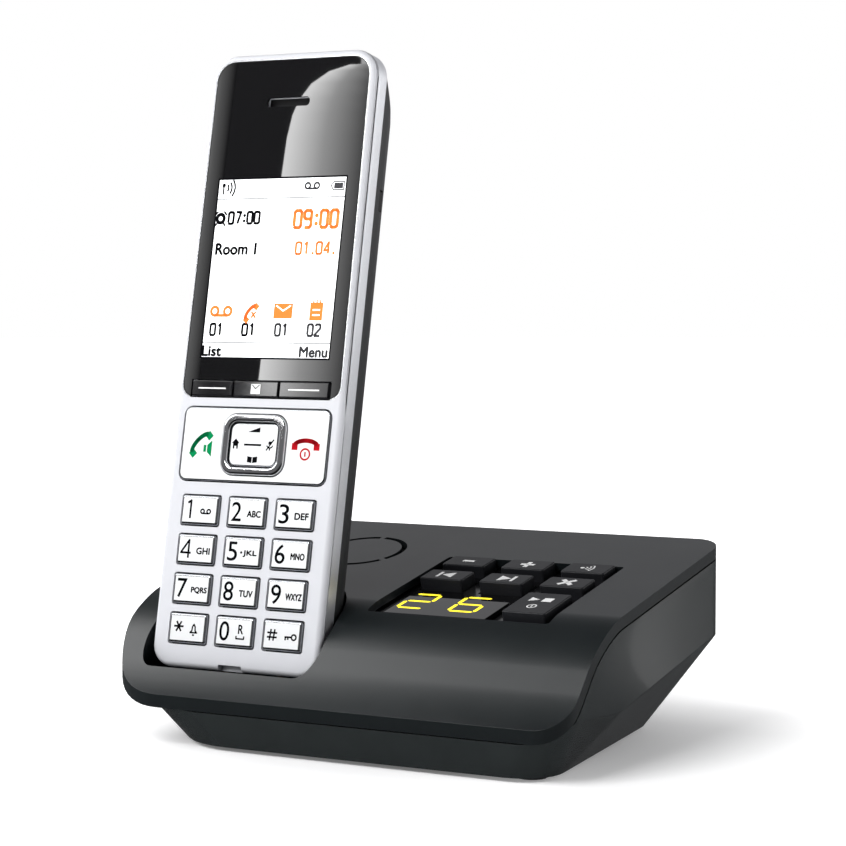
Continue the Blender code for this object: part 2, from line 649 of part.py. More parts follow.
def rear_shell():
    shell = add_object("handset_rear_shell", back_solid(0.0, REAR_START, HANDSET_DEPTH),
                       (SATIN_BLACK, 0.45), HANDSET)
    space = add_object("back_space", back_solid(SHELL_WALL, REAR_START - 0.001, HANDSET_DEPTH - SHELL_WALL),
                       parent=HANDSET)
    cut(shell, space)
    opening = prism(rounded_rectangle((-COVER_X, COVER_X), COVER_Z, 0.0030, 3), 0.0175, 0.030, "Y")
    cut(shell, add_object("battery_opening", opening, parent=HANDSET))
    vents = [box((-0.006, 0.022, 0.1180 + n * 0.0030), (0.006, 0.030, 0.1192 + n * 0.0030)) for n in range(3)]
    for index, vent in enumerate(vents):
        cut(shell, add_object(f"ringer_slot_{index}", vent, parent=HANDSET))
    socket = box((0.0200, 0.0084, 0.1185), (0.0300, 0.0108, 0.1240))
    cut(shell, add_object("headset_opening", socket, parent=HANDSET))
    for side in (-1, 1):
        hole = box((side * CONTACT_X - 0.0017, CONTACT_DEPTH - 0.0023, -0.001),
                   (side * CONTACT_X + 0.0017, CONTACT_DEPTH + 0.0023, 0.006))
        cut(shell, add_object(f"charging_pad_opening_{side}", hole, parent=HANDSET))
    smooth(shell)


def battery_cover():
    x = COVER_X - GAP
    outline = rounded_rectangle((-x, x), (COVER_Z[0] + GAP, COVER_Z[1] - GAP), 0.0027, 3)
    cover = add_object("battery_cover", prism(outline, 0.0175, 0.030, "Y"), (SATIN_BLACK, 0.45), HANDSET)
    outer = add_object("cover_outside", back_solid(0.0, REAR_START, HANDSET_DEPTH), parent=HANDSET)
    boolean(cover, outer, "INTERSECT")
    inner = back_solid(SHELL_WALL, REAR_START - 0.001, HANDSET_DEPTH - SHELL_WALL)
    cut(cover, add_object("cover_inside", inner, parent=HANDSET))


def batteries():
    for side, name in ((-1, "left"), (1, "right")):
        profile = ((0, 0.0445), (0.0019, 0.0445), (0.0019, 0.0437), (0.0051, 0.0435), (0.0052, 0.0005),
                   (0.0047, 0.0), (0, 0.0))
        cell = turned(f"battery_{name}", profile, ((0.1, 0.35, 0.2), 0.4, 0.3),
                      (side * 0.0056, 0.0152, 0.0460), HANDSET, 14)
        smooth(cell)


def handset_inside():
    board = rounded_rectangle((-0.0215, 0.0215), (0.0045, 0.1480), 0.004, 3)
    add_object("handset_circuit_board", prism(board, 0.0062, 0.0072, "Y"), ((0.02, 0.12, 0.05), 0.5), HANDSET)
    mat = rectangle((-0.0215, 0.0215), (0.0042, 0.0745))
    add_object("key_mat", prism(mat, 0.0045, 0.0055, "Y"), ((0.6, 0.6, 0.62), 0.8), HANDSET)
    for name, low, high, colour in (
        ("earpiece", (-0.0080, 0.0027, 0.1405), (0.0070, 0.0055, 0.1505), (0.03, 0.03, 0.03)),
        ("microphone", (-0.0030, 0.0027, 0.0022), (0.0030, 0.0042, 0.0046), (0.5, 0.5, 0.5)),
        ("ringer", (-0.0085, 0.0140, 0.1130), (0.0085, 0.0190, 0.1300), (0.03, 0.03, 0.03)),
    ):
        add_object(name, box(low, high), (colour, 0.6), HANDSET)
    jack = box((0.0175, 0.0087, 0.1188), (0.0238, 0.0105, 0.1237))
    add_object("headset_socket", jack, ((0.02, 0.02, 0.02), 0.7), HANDSET)
    for side, name in ((-1, "left"), (1, "right")):
        pad = box((side * CONTACT_X - 0.0014, CONTACT_DEPTH - 0.0020, 0.0007),
                  (side * CONTACT_X + 0.0014, CONTACT_DEPTH + 0.0020, 0.0036))
        add_object(f"charging_pad_{name}", pad, ((0.75, 0.65, 0.4), 0.25, 1.0), HANDSET)


def handset_keys():
    half_w, half_h = DIAL_SIZE[0] / 2, DIAL_SIZE[1] / 2
    for name, x, z in dial_places():
        outline = rounded_rectangle((-half_w, half_w), (-half_h, half_h), 0.0007, 2)
        cap = prism(outline, -KEY_PROUD, KEY_BACK, "Y")
        key = add_object(f"key_{name}", cap, (SILVER, 0.3, 0.8), HANDSET, (x, 0, z))
        round_edges(key, 0.0003, 1, 60)
    for name, (x0, x1) in soft_places():
        middle = ((x0 + x1) / 2, 0, sum(SOFT_Z) / 2)
        half = (x1 - x0) / 2
        height = (SOFT_Z[1] - SOFT_Z[0]) / 2
        cap = prism(rectangle((-half, half), (-height, height)), -0.0003, KEY_BACK, "Y")
        key = add_object(f"soft_key_{name}", cap, (GLOSS_BLACK, 0.1), HANDSET, middle)
        round_edges(key, 0.0003, 1, 60)
    call_plate()
    navigation()


def call_plate():
    """One plate with the call key at its left and the end key at its right, open at the ring."""
    z0, z1 = (z - NAV_CENTRE_Z for z in PLATE_Z)
    outline = rounded_rectangle((-PLATE_HALF, PLATE_HALF), (z0, z1), 0.0021, 3)
    plate = add_object("call_plate", prism(outline, -0.0003, KEY_BACK - 0.0006, "Y"), (SILVER, 0.3, 0.8),
                       HANDSET, (0, 0, NAV_CENTRE_Z))
    x, z = RING_SIZE[0] / 2 + GAP, RING_SIZE[1] / 2 + GAP
    hole = prism(rounded_rectangle((-x, x), (-z, z), 0.0040), -0.004, 0.006, "Y")
    cut(plate, add_object("plate_ring_opening", hole, parent=HANDSET, location=(0, 0, NAV_CENTRE_Z)))


def navigation():
    x, z = RING_SIZE[0] / 2, RING_SIZE[1] / 2
    outline = rounded_rectangle((-x, x), (-z, z), 0.0037)
    ring = add_object("navigation_ring", prism(outline, -0.0010, KEY_BACK, "Y"),
                      ((0.8, 0.8, 0.82), 0.08, 1.0), HANDSET, (0, 0, NAV_CENTRE_Z))
    x, z = PAD_SIZE[0] / 2, PAD_SIZE[1] / 2
    hole = prism(rounded_rectangle((-x - GAP, x + GAP), (-z - GAP, z + GAP), 0.0023), -0.003, 0.005, "Y")
    cut(ring, add_object("ring_pad_opening", hole, parent=HANDSET, location=(0, 0, NAV_CENTRE_Z)))
    pad = prism(rounded_rectangle((-x, x), (-z, z), 0.0020), -0.0004, KEY_BACK, "Y")
    add_object("navigation_pad", pad, (SILVER, 0.3, 0.8), HANDSET, (0, 0, NAV_CENTRE_Z))


def main():
    top_shell()
    bottom_shell()
    feet()
    screws()
    sockets()
    loudspeaker()
    keypad()
    charging_contacts()
    front_cover()
    display()
    side_band()
    rear_shell()
    battery_cover()
    batteries()
    handset_inside()
    handset_keys()


main()
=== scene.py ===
"""A cordless phone in its charging base: moulded housings, keys, display and studio.

The file is laid out as a Blender add-on and run as a script. Pieces on the handset are
drawn in FACE: x across, y along the handset from its lower end, z out of its front face.
Pieces on the keypad are drawn in DECK, where z = 0 is the sloping deck of the base.
"""

import json
from math import cos, radians, sin, tan

import bmesh
import bpy
from bpy.props import FloatProperty, FloatVectorProperty, PointerProperty, StringProperty
from mathutils import Matrix, Vector

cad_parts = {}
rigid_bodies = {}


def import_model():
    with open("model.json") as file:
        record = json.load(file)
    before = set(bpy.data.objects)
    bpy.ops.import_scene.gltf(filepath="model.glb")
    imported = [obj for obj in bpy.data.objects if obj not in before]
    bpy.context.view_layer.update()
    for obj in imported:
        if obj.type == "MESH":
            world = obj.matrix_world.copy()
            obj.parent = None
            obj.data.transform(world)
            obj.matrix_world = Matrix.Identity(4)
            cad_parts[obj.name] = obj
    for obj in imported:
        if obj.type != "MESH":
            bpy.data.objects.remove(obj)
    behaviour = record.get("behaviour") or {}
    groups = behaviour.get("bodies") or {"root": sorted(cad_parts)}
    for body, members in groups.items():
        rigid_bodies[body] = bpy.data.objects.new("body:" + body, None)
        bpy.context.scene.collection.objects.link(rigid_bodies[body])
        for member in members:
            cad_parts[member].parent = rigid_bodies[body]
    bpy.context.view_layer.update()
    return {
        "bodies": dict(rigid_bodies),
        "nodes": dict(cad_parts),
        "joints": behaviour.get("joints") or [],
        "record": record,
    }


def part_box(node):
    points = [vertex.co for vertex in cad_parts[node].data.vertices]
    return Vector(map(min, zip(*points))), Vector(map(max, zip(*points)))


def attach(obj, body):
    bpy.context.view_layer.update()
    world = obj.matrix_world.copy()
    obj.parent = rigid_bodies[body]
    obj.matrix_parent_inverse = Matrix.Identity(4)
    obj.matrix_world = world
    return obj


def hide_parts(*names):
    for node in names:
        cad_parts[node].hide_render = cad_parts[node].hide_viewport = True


bl_info = {
    "name": "Cordless Phone With Base",
    "version": (1, 0, 0),
    "blender": (4, 5, 0),
    "location": "View3D > Sidebar > Phone",
    "description": "Builds a cordless handset standing in its charging base",
    "category": "Add Mesh",
}

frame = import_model()

# --- Frames of the handset's face and of the deck ---
FACE = (Matrix.Translation((-0.0321, -0.0338, 0.0181))
        @ Matrix.Rotation(radians(-10.84), 4, "X") @ Matrix.Rotation(radians(90), 4, "X"))
DECK_SLOPE = radians(11.94)
DECK = Matrix.Translation((0, 0, 0.0392)) @ Matrix.Rotation(DECK_SLOPE, 4, "X")
WORLD = Matrix.Identity(4)
SIDE = Matrix(((0, 0, 1, 0), (1, 0, 0, 0), (0, 1, 0, 0), (0, 0, 0, 1)))   # drawn (y, z), deep in x

# --- Base ---
SHOULDER = (-0.0148, 0.0332, radians(49.1))   # start in y, radius, slope of the fall
TOE = (0.0040, 0.0418, radians(18.0))         # run of the fall, radius, slope at the front
LID_THICKNESS = 0.0020
RIM_HEIGHT = 0.0028
WALL = 0.0020
BASE_HALF = (0.0664, 0.0463)
BASE_RADII = (0.0200, 0.0080, 0.0080, 0.0080)
HULL_FLOOR = 0.0010
HULL_TOP = 0.0480
FOOT_CORNERS = ((-0.0490, -0.0437), (0.0615, -0.0437), (0.0475, 0.0410), (-0.0475, 0.0410))
FLARE_CORNERS = ((-0.0990, -0.0570), (0.0835, -0.0570), (0.0830, 0.0510), (-0.0830, 0.0510))
FOOT_RADII = (0.022, 0.010, 0.008, 0.008)
FLARE_RADII = (0.024, 0.010, 0.008, 0.008)
WELL_HALF = ((0.0260, 0.0040), (0.0252, 0.0090), (0.0239, 0.0122), (0.0222, 0.0152), (0.0199, 0.0182),
             (0.0170, 0.0212), (0.0136, 0.0237), (0.0100, 0.0252), (0.0050, 0.0262))
WELL_FRONT = (0.0262, -0.0052, 0.0050)        # half-width, depth and corner radius at its front
WELL_FLOOR = -0.0005
RECESS = ((-0.0004, 0.0500), (-0.02167, 0.02106))
TRAY_DROP = 0.0026
SPEAKER = (-0.0280, 0.02167)
SLIT_RADII = (0.0110, 0.0125)
BASE_KEYS = {
    "volume_down": (0.0122, 0.0073), "volume_up": (0.0122, 0.0073), "paging": (0.0122, 0.0073),
    "previous": (0.0122, 0.0073), "next": (0.0122, 0.0073), "delete": (0.0122, 0.0073),
    "play_stop": (0.0118, 0.0150),
}

# --- Handset ---
HALF_WIDTH = 0.0249
LENGTH = 0.1585
TOP_RADIUS = 0.0071
BOTTOM_RADIUS = 0.0056
LENS = (0.0690, 0.1567, 0.0238, 0.0231)       # lower and upper end, half-width at each
SCREEN = (-0.0196, 0.0197, 0.0788, 0.1259)
SLOT = (-0.0070, 0.0060, 0.1443, 0.1467)
SOFT = (0.0691, 0.0731)
SOFT_EDGES = (-0.0209, -0.0081, 0.0057, 0.0207)
PLATE = (0.0220, 0.0474, 0.0662)
NAV_Z = 0.0569
RING_SIZE = (0.0189, 0.0154)
PAD_SIZE = (0.0145, 0.0110)
DIAL_SIZE = (0.0114, 0.0075)
KEY_GAP = 0.00035
DIAL_LETTERS = {"2": "ABC", "3": "DEF", "4": "GHI", "5": "JKL", "6": "MNO", "7": "PQRS", "8": "TUV",
                "9": "WXYZ"}
# depth; inset of the sides, the lower and the upper end; radii of the lower and the upper corners
BACK_SECTIONS = (
    (0.0062, 0.0003, 0.0003, 0.0003, 0.0056, 0.0071),
    (0.0090, 0.0006, 0.0005, 0.0015, 0.0060, 0.0110),
    (0.0120, 0.0017, 0.0016, 0.0036, 0.0062, 0.0120),
    (0.0150, 0.0035, 0.0032, 0.0061, 0.0066, 0.0120),
    (0.0180, 0.0059, 0.0055, 0.0096, 0.0070, 0.0115),
    (0.0210, 0.0089, 0.0086, 0.0142, 0.0070, 0.0105),
    (0.0236, 0.0124, 0.0122, 0.0202, 0.0068, 0.0090),
    (0.0252, 0.0164, 0.0180, 0.0292, 0.0050, 0.0060),
)
INK = 0.00004      # height of a printed mark


# --- Properties ---
def colour_property(name, description, default):
    return FloatVectorProperty(name=name, description=description, default=default, size=3,
                               subtype="COLOR", min=0.0, max=1.0)


class PhoneSizes(bpy.types.PropertyGroup):
    rim_softness: FloatProperty(name="Rim softness", description="Rounding of the lid's outer edge",
                                default=0.0007, unit="LENGTH", precision=5)
    face_softness: FloatProperty(name="Face softness", description="Rounding round the handset's face",
                                 default=0.0013, unit="LENGTH", precision=5)
    key_softness: FloatProperty(name="Key softness", description="Rounding of the dial keys' edges",
                                default=0.00065, unit="LENGTH", precision=5)
    seam: FloatProperty(name="Seam", description="Width of the seam round the handset's face",
                        default=0.0003, unit="LENGTH", precision=5)
    count: StringProperty(name="Message count", description="Two digits in the base's window",
                          default="26")


class PhoneColours(bpy.types.PropertyGroup):
    anthracite: colour_property("Anthracite", "The base's satin plastic", (0.0072, 0.0100, 0.0112))
    piano_black: colour_property("Piano black", "Glossy black plastic", (0.0035, 0.0035, 0.004))
    silver: colour_property("Silver", "The handset's lacquer", (0.285, 0.289, 0.290))
    amber: colour_property("Amber", "The display's warm colour", (0.93, 0.20, 0.04))
    call_green: colour_property("Call green", "The call key's mark", (0.0, 0.22, 0.07))
    end_red: colour_property("End red", "The end key's mark", (0.42, 0.004, 0.01))
    segments: colour_property("Segments", "The lit digits of the base", (1.0, 0.80, 0.02))


# --- Materials ---
def surface(name, colour, roughness, metallic=0.0, grain=0.15, grain_scale=4200.0, mottle=0.06,
            vary=0.05, coat=0.0, glow=0.0, specular=0.5):
    """A moulded, lacquered or metal surface: fine grain, and slow drifts of tone and gloss."""
    material = bpy.data.materials.new(name)
    material.use_nodes = True
    nodes, links = material.node_tree.nodes, material.node_tree.links
    shader = nodes["Principled BSDF"]
    shader.inputs["Metallic"].default_value = metallic
    shader.inputs["Specular IOR Level"].default_value = specular
    shader.inputs["Coat Weight"].default_value = coat
    shader.inputs["Coat Roughness"].default_value = 0.04
    place = nodes.new("ShaderNodeTexCoord")
    fine = nodes.new("ShaderNodeTexNoise")
    fine.inputs["Scale"].default_value = grain_scale
    fine.inputs["Detail"].default_value = 2.0
    bump = nodes.new("ShaderNodeBump")
    bump.inputs["Strength"].default_value = grain
    bump.inputs["Distance"].default_value = 0.00005
    slow = nodes.new("ShaderNodeTexNoise")
    slow.inputs["Scale"].default_value = 90.0
    slow.inputs["Detail"].default_value = 5.0
    gloss = nodes.new("ShaderNodeMapRange")
    gloss.inputs["To Min"].default_value = max(roughness - vary, 0.01)
    gloss.inputs["To Max"].default_value = roughness + vary
    tone = nodes.new("ShaderNodeValToRGB")
    tone.color_ramp.elements[0].position = 0.3
    tone.color_ramp.elements[1].position = 0.7
    tone.color_ramp.elements[0].color = (*[c * (1 - mottle) for c in colour], 1)
    tone.color_ramp.elements[1].color = (*[min(c * (1 + mottle), 1) for c in colour], 1)
    for noise in (fine, slow):
        links.new(place.outputs["Object"], noise.inputs["Vector"])
    links.new(fine.outputs["Fac"], bump.inputs["Height"])
    links.new(bump.outputs["Normal"], shader.inputs["Normal"])
    links.new(slow.outputs["Fac"], gloss.inputs["Value"])
    links.new(gloss.outputs["Result"], shader.inputs["Roughness"])
    grain_source = fine if metallic > 0.2 and grain_scale > 2000 else slow
    links.new(grain_source.outputs["Fac"], tone.inputs["Fac"])
    links.new(tone.outputs["Color"], shader.inputs["Base Color"])
    if glow:
        links.new(tone.outputs["Color"], shader.inputs["Emission Color"])
        shader.inputs["Emission Strength"].default_value = glow
    return material


def finish(name):
    """The finish with this name, made the first time that it is asked for."""
    found = bpy.data.materials.get(name)
    if found:
        return found
    colour, roughness, look = FINISHES[name]
    if isinstance(colour, str):
        colour = getattr(bpy.context.scene.phone_colours, colour)
    make = board if name == "board_green" else surface
    return make(name, colour, roughness, **look)


# name: colour, or the property that holds it; roughness; the rest of surface()
FINISHES = {
    "lid_satin": ("anthracite", 0.33, dict(grain=0.16, grain_scale=3800, mottle=0.05, vary=0.02)),
    "hull_gloss": ((0.021, 0.0245, 0.025), 0.16, dict(grain=0.01, grain_scale=2600, vary=0.02, coat=0.2)),
    "tray_gloss": ("piano_black", 0.16, dict(grain=0.04, vary=0.03)),
    "key_satin": ((0.014, 0.0145, 0.017), 0.38, dict(grain=0.25, grain_scale=3500, specular=0.22)),
    "window_gloss": ((0.002, 0.002, 0.002), 0.05, dict(grain=0.01, vary=0.01)),
    "lens_gloss": ("piano_black", 0.012, dict(grain=0.0, vary=0.004)),
    "lens_lip": ((0.75, 0.76, 0.78), 0.18, dict(metallic=0.8, grain=0.03)),
    "silver_lacquer": ("silver", 0.36, dict(metallic=0.55, grain=0.35, grain_scale=5200, mottle=0.10,
                                            vary=0.02)),
    "key_silver": ((0.80, 0.81, 0.82), 0.34, dict(metallic=0.12, grain=0.06, grain_scale=5200,
                                                  mottle=0.03, vary=0.02)),
    "key_edge": ((0.42, 0.43, 0.45), 0.22, dict(metallic=1.0, grain=0.05, grain_scale=5200, mottle=0.05,
                                                vary=0.02)),
    "band_silver": ((0.74, 0.75, 0.78), 0.30, dict(metallic=0.80, grain=0.18, grain_scale=5200,
                                                   mottle=0.05)),
    "chrome": ((0.88, 0.88, 0.90), 0.06, dict(metallic=1.0, grain=0.01, vary=0.02, mottle=0.02)),
    "shell_satin": ((0.016, 0.017, 0.018), 0.36, dict(grain=0.28, grain_scale=3200)),
    "soft_gloss": ((0.003, 0.003, 0.004), 0.08, dict(grain=0.02, vary=0.02)),
    "screen_white": ((0.93, 0.94, 0.95), 0.20, dict(grain=0.01, mottle=0.01, glow=0.78)),
    "black_print": ((0.004, 0.004, 0.005), 0.6, dict(grain=0.05, specular=0.0)),
    "grey_print": ((0.06, 0.06, 0.065), 0.6, dict(grain=0.05, specular=0.0)),
    # white print with a painted glow: the emission makes the printed marks brighter than the lamps alone
    # would
    "white_print": ((0.80, 0.80, 0.80), 0.5, dict(grain=0.05, glow=0.12, specular=0.1)),
    "amber_print": ("amber", 0.6, dict(grain=0.05, glow=0.30, specular=0.0)),
    "green_print": ("call_green", 0.6, dict(grain=0.05, specular=0.05)),
    "red_print": ("end_red", 0.6, dict(grain=0.05, specular=0.05)),
    "lit_segment": ("segments", 0.4, dict(grain=0.02, mottle=0.03, glow=1.1)),
    "rubber": ((0.022, 0.022, 0.023), 0.85, dict(grain=0.5, grain_scale=1800)),
    "steel": ((0.52, 0.53, 0.55), 0.28, dict(metallic=1.0, grain=0.2, grain_scale=2400)),
    "contact_gold": ((0.78, 0.60, 0.30), 0.22, dict(metallic=1.0, grain=0.1)),
    "socket_black": ((0.018, 0.018, 0.019), 0.5, dict(grain=0.2)),
    "speaker_paper": ((0.02, 0.02, 0.021), 0.8, dict(grain=0.7, grain_scale=1500)),
    "board_green": ((0.012, 0.10, 0.035), 0.38, dict(grain=0.1)),
    "mat_silicone": ((0.06, 0.06, 0.065), 0.6, dict(grain=0.2, grain_scale=1500)),
    "cell_wrap": ((0.03, 0.20, 0.09), 0.35, dict(grain=0.05, vary=0.08)),
    "module_grey": ((0.35, 0.36, 0.38), 0.4, dict(grain=0.1)),
    "buzzer_black": ((0.015, 0.015, 0.016), 0.6, dict(grain=0.3, grain_scale=1500)),
}


def board(name, colour, roughness, **look):
    """Solder resist over rows of tracks, a little lighter than the board between them."""
    material = surface(name, colour, roughness, **look)
    nodes, links = material.node_tree.nodes, material.node_tree.links
    shader = nodes["Principled BSDF"]
    tracks = nodes.new("ShaderNodeTexBrick")
    tracks.inputs["Scale"].default_value = 420.0
    tracks.inputs["Mortar Size"].default_value = 0.12
    tracks.inputs["Color1"].default_value = (*colour, 1)
    tracks.inputs["Color2"].default_value = (*[c * 0.8 for c in colour], 1)
    tracks.inputs["Mortar"].default_value = (*[c * 1.9 for c in colour], 1)
    place = next(node for node in nodes if node.type == "TEX_COORD")
    links.new(place.outputs["Object"], tracks.inputs["Vector"])
    links.new(tracks.outputs["Color"], shader.inputs["Base Color"])
    return material


# --- Mesh helpers ---
def polygon(points, radii, segments=8):
    """A flat face in the XY plane, its corners rounded to radii."""
    shape = bmesh.new()
    corners = [shape.verts.new((x, y, 0.0)) for x, y in points]
    shape.faces.new(corners)
    rounded = []
    for corner, radius in zip(corners, radii):
        if radius > 0:
            first, second = [edge.other_vert(corner).co - corner.co for edge in corner.link_edges]
            rounded.append((corner, radius / tan(first.angle(second) / 2)))
    for corner, offset in rounded:
        bmesh.ops.bevel(shape, geom=[corner], offset=offset, offset_type="OFFSET", affect="VERTICES",
                        segments=segments, profile=0.5, material=-1)
    return shape


def extruded(shape, low, high):
    """The flat faces of a shape made a solid between two heights."""
    bmesh.ops.translate(shape, verts=shape.verts, vec=(0, 0, low))
    moved = bmesh.ops.extrude_face_region(shape, geom=shape.faces[:])["geom"]
    moved = [part for part in moved if isinstance(part, bmesh.types.BMVert)]
    bmesh.ops.translate(shape, verts=moved, vec=(0, 0, high - low))
    bmesh.ops.recalc_face_normals(shape, faces=shape.faces)
    return shape


def block(x_range, y_range, z_range, radius=0.0, segments=4):
    (x0, x1), (y0, y1) = x_range, y_range
    corners = ((x0, y0), (x1, y0), (x1, y1), (x0, y1))
    return extruded(polygon(corners, [radius] * 4, segments), *z_range)


def softened(shape, width, segments=3, low=-1.0, high=1.0, sharp=radians(40)):
    """Rounds the sharp edges that lie between two heights."""
    edges = [edge for edge in shape.edges
             if len(edge.link_faces) == 2 and edge.calc_face_angle(0) > sharp
             and all(low <= vert.co.z <= high for vert in edge.verts)]
    bmesh.ops.bevel(shape, geom=edges, offset=width, offset_type="OFFSET", affect="EDGES",
                    segments=segments, profile=0.5, material=-1, clamp_overlap=True)
    return shape


def edged(shape, top):
    """Marks every face that isn't the flat top as the second material."""
    for face in shape.faces:
        face.material_index = 0 if face.calc_center_median().z > top - 1e-6 else 1
    return shape


def turned_to(shape, matrix):
    shape.transform(matrix)
    return shape


def joined(*shapes, material_index=None):
    """One shape that holds them all; later ones may take another material slot."""
    first = shapes[0]
    for shape in shapes[1:]:
        scratch = bpy.data.meshes.new("scratch")
        known = set(first.faces)
        shape.to_mesh(scratch)
        shape.free()
        first.from_mesh(scratch)
        bpy.data.meshes.remove(scratch)
        if material_index is not None:
            for face in first.faces:
                if face not in known:
                    face.material_index = material_index
    return first


def scratch_object(shape):
    mesh = bpy.data.meshes.new("scratch")
    shape.to_mesh(mesh)
    shape.free()
    made = bpy.data.objects.new("scratch", mesh)
    bpy.context.scene.collection.objects.link(made)
    return made


def carved(shape, cutter, operation="DIFFERENCE"):
    """The shape with a cutter taken from it, joined to it or kept in common with it."""
    target, tool = scratch_object(shape), scratch_object(cutter)
    modifier = target.modifiers.new("carve", "BOOLEAN")
    modifier.operation = operation
    modifier.object = tool
    modifier.solver = "EXACT"
    ready = target.evaluated_get(bpy.context.evaluated_depsgraph_get())
    mesh = bpy.data.meshes.new_from_object(ready)
    result = bmesh.new()
    result.from_mesh(mesh)
    bpy.data.meshes.remove(mesh)
    for used in (target, tool):
        data = used.data
        bpy.data.objects.remove(used, do_unlink=True)
        bpy.data.meshes.remove(data)
    return result


def lofted(rings):
    """A closed skin over rounded outlines: each is (points, radii, height)."""
    shape = bmesh.new()
    for index, (points, radii, height) in enumerate(rings):
        ring = polygon(points, radii)
        bmesh.ops.translate(ring, verts=ring.verts, vec=(0, 0, height))
        if 0 < index < len(rings) - 1:
            bmesh.ops.delete(ring, geom=ring.faces[:], context="FACES_ONLY")
        shape = joined(shape, ring)
    loops = []
    for _, _, height in rings:
        loops.append([edge for edge in shape.edges
                      if all(abs(vert.co.z - height) < 1e-6 for vert in edge.verts)])
    for lower, upper in zip(loops, loops[1:]):
        bmesh.ops.bridge_loops(shape, edges=lower + upper)
    bmesh.ops.recalc_face_normals(shape, faces=shape.faces)
    return shape


def piece(name, shape, place, body, finishes, nodes=(), crease=32):
    """Puts a shape into the scene with its finishes, riding on a body."""
    bmesh.ops.remove_doubles(shape, verts=shape.verts, dist=5e-7)
    bmesh.ops.recalc_face_normals(shape, faces=shape.faces)
    shape.transform(place)
    mesh = bpy.data.meshes.new(name)
    shape.to_mesh(mesh)
    shape.free()
    made = bpy.data.objects.new(name, mesh)
    bpy.context.scene.collection.objects.link(made)
    for label in finishes:
        mesh.materials.append(finish(label))
    mesh.shade_smooth()
    mesh.set_sharp_from_angle(angle=radians(crease))
    weighted = made.modifiers.new("weighted_normals", "WEIGHTED_NORMAL")
    weighted.keep_sharp = True
    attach(made, body)
    if nodes:
        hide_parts(*nodes)
    return made


def middle_of(node, place):
    """The middle of a CAD node in the frame place."""
    low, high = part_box(node)
    return place.inverted() @ ((Vector(low) + Vector(high)) / 2)


# --- Printed marks, drawn in millimetres on a flat face ---
def patch(ink, points):
    ink.faces.new([ink.verts.new((x, y, 0.0)) for x, y in points])


def disc(ink, centre, radius, segments=20):
    bmesh.ops.create_circle(ink, cap_ends=True, radius=radius, segments=segments,
                            matrix=Matrix.Translation((*centre, 0)))


def stroke(ink, points, width, closed=False):
    """A line of even width with round joints."""
    ends = list(points) + ([points[0]] if closed else [])
    for start, end in zip(ends, ends[1:]):
        start, end = Vector(start), Vector(end)
        side = (end - start).normalized().orthogonal() * (width / 2)
        patch(ink, [start - side, end - side, end + side, start + side])
    for point in ends[1:-1] + (ends[:1] if closed else []):
        disc(ink, point, width / 2, 10)


def arc(centre, radius, first, last, steps=16, squash=1.0):
    angles = [radians(first + (last - first) * n / steps) for n in range(steps + 1)]
    return [(centre[0] + radius * cos(a), centre[1] + radius * squash * sin(a)) for a in angles]


def ring(ink, centre, radius, width, first=0, last=360, steps=24):
    """A round line: a short edge spun about the centre."""
    inner, outer = radius - width / 2, radius + width / 2
    turn = Matrix.Rotation(radians(first), 3, "Z")
    ends = [ink.verts.new(Vector((*centre, 0)) + turn @ Vector((r, 0, 0))) for r in (inner, outer)]
    edge = ink.edges.new(ends)
    bmesh.ops.spin(ink, geom=ends + [edge], cent=(*centre, 0), axis=(0, 0, 1),
                   angle=radians(last - first), steps=steps, use_merge=(last - first == 360))


def lettering(ink, text, centre, height, width=None, weight=0.0):
    """Plain letters or digits, scaled to a height and, if it is given, to a width. Their
    outlines are drawn over with lines as wide as weight, which makes them bolder."""
    curve = bpy.data.curves.new("lettering", "FONT")
    curve.body = text
    curve.size = 1.0
    curve.resolution_u = 4
    made = bpy.data.objects.new("lettering", curve)
    bpy.context.scene.collection.objects.link(made)
    ready = made.evaluated_get(bpy.context.evaluated_depsgraph_get())
    mesh = bpy.data.meshes.new_from_object(ready)
    low = [min(vert.co[axis] for vert in mesh.vertices) for axis in range(2)]
    high = [max(vert.co[axis] for vert in mesh.vertices) for axis in range(2)]
    tall = height / (high[1] - low[1])
    wide = tall * 0.78 if width is None else width / (high[0] - low[0])
    middle = Vector(((low[0] + high[0]) / 2, (low[1] + high[1]) / 2, 0))
    mesh.transform(Matrix.Translation((*centre, 0)) @ Matrix.Diagonal((wide, tall, 1, 1))
                   @ Matrix.Translation(-middle))
    known = set(ink.edges)
    ink.from_mesh(mesh)
    if weight:
        rims = [edge for edge in ink.edges if edge not in known and len(edge.link_faces) == 1]
        for start, end in [[vert.co.xy for vert in edge.verts] for edge in rims]:
            if (end - start).length > 0.005:
                stroke(ink, [start, end], weight)
    bpy.data.meshes.remove(mesh)
    bpy.data.objects.remove(made, do_unlink=True)
    bpy.data.curves.remove(curve)


LINES = {
    "0": [[(0, .2), (.2, 0), (.8, 0), (1, .2), (1, 1.8), (.8, 2), (.2, 2), (0, 1.8), (0, .2)]],
    "1": [[(.15, 1.6), (.55, 2), (.55, 0)]],
    "2": [[(0, 1.7), (.2, 2), (.8, 2), (1, 1.8), (1, 1.3), (0, .2), (0, 0), (1, 0)]],
    "4": [[(.75, 0), (.75, 2), (0, .6), (1, .6)]],
    "7": [[(0, 2), (1, 2), (.4, 0)]],
    "9": [[(.1, 0), (.8, 0), (1, .2), (1, 1.8), (.8, 2), (.2, 2), (0, 1.8), (0, 1.2), (.2, 1), (1, 1)]],
}
DOTS = {":": (0.45, 1.4), ".": (0.12,)}


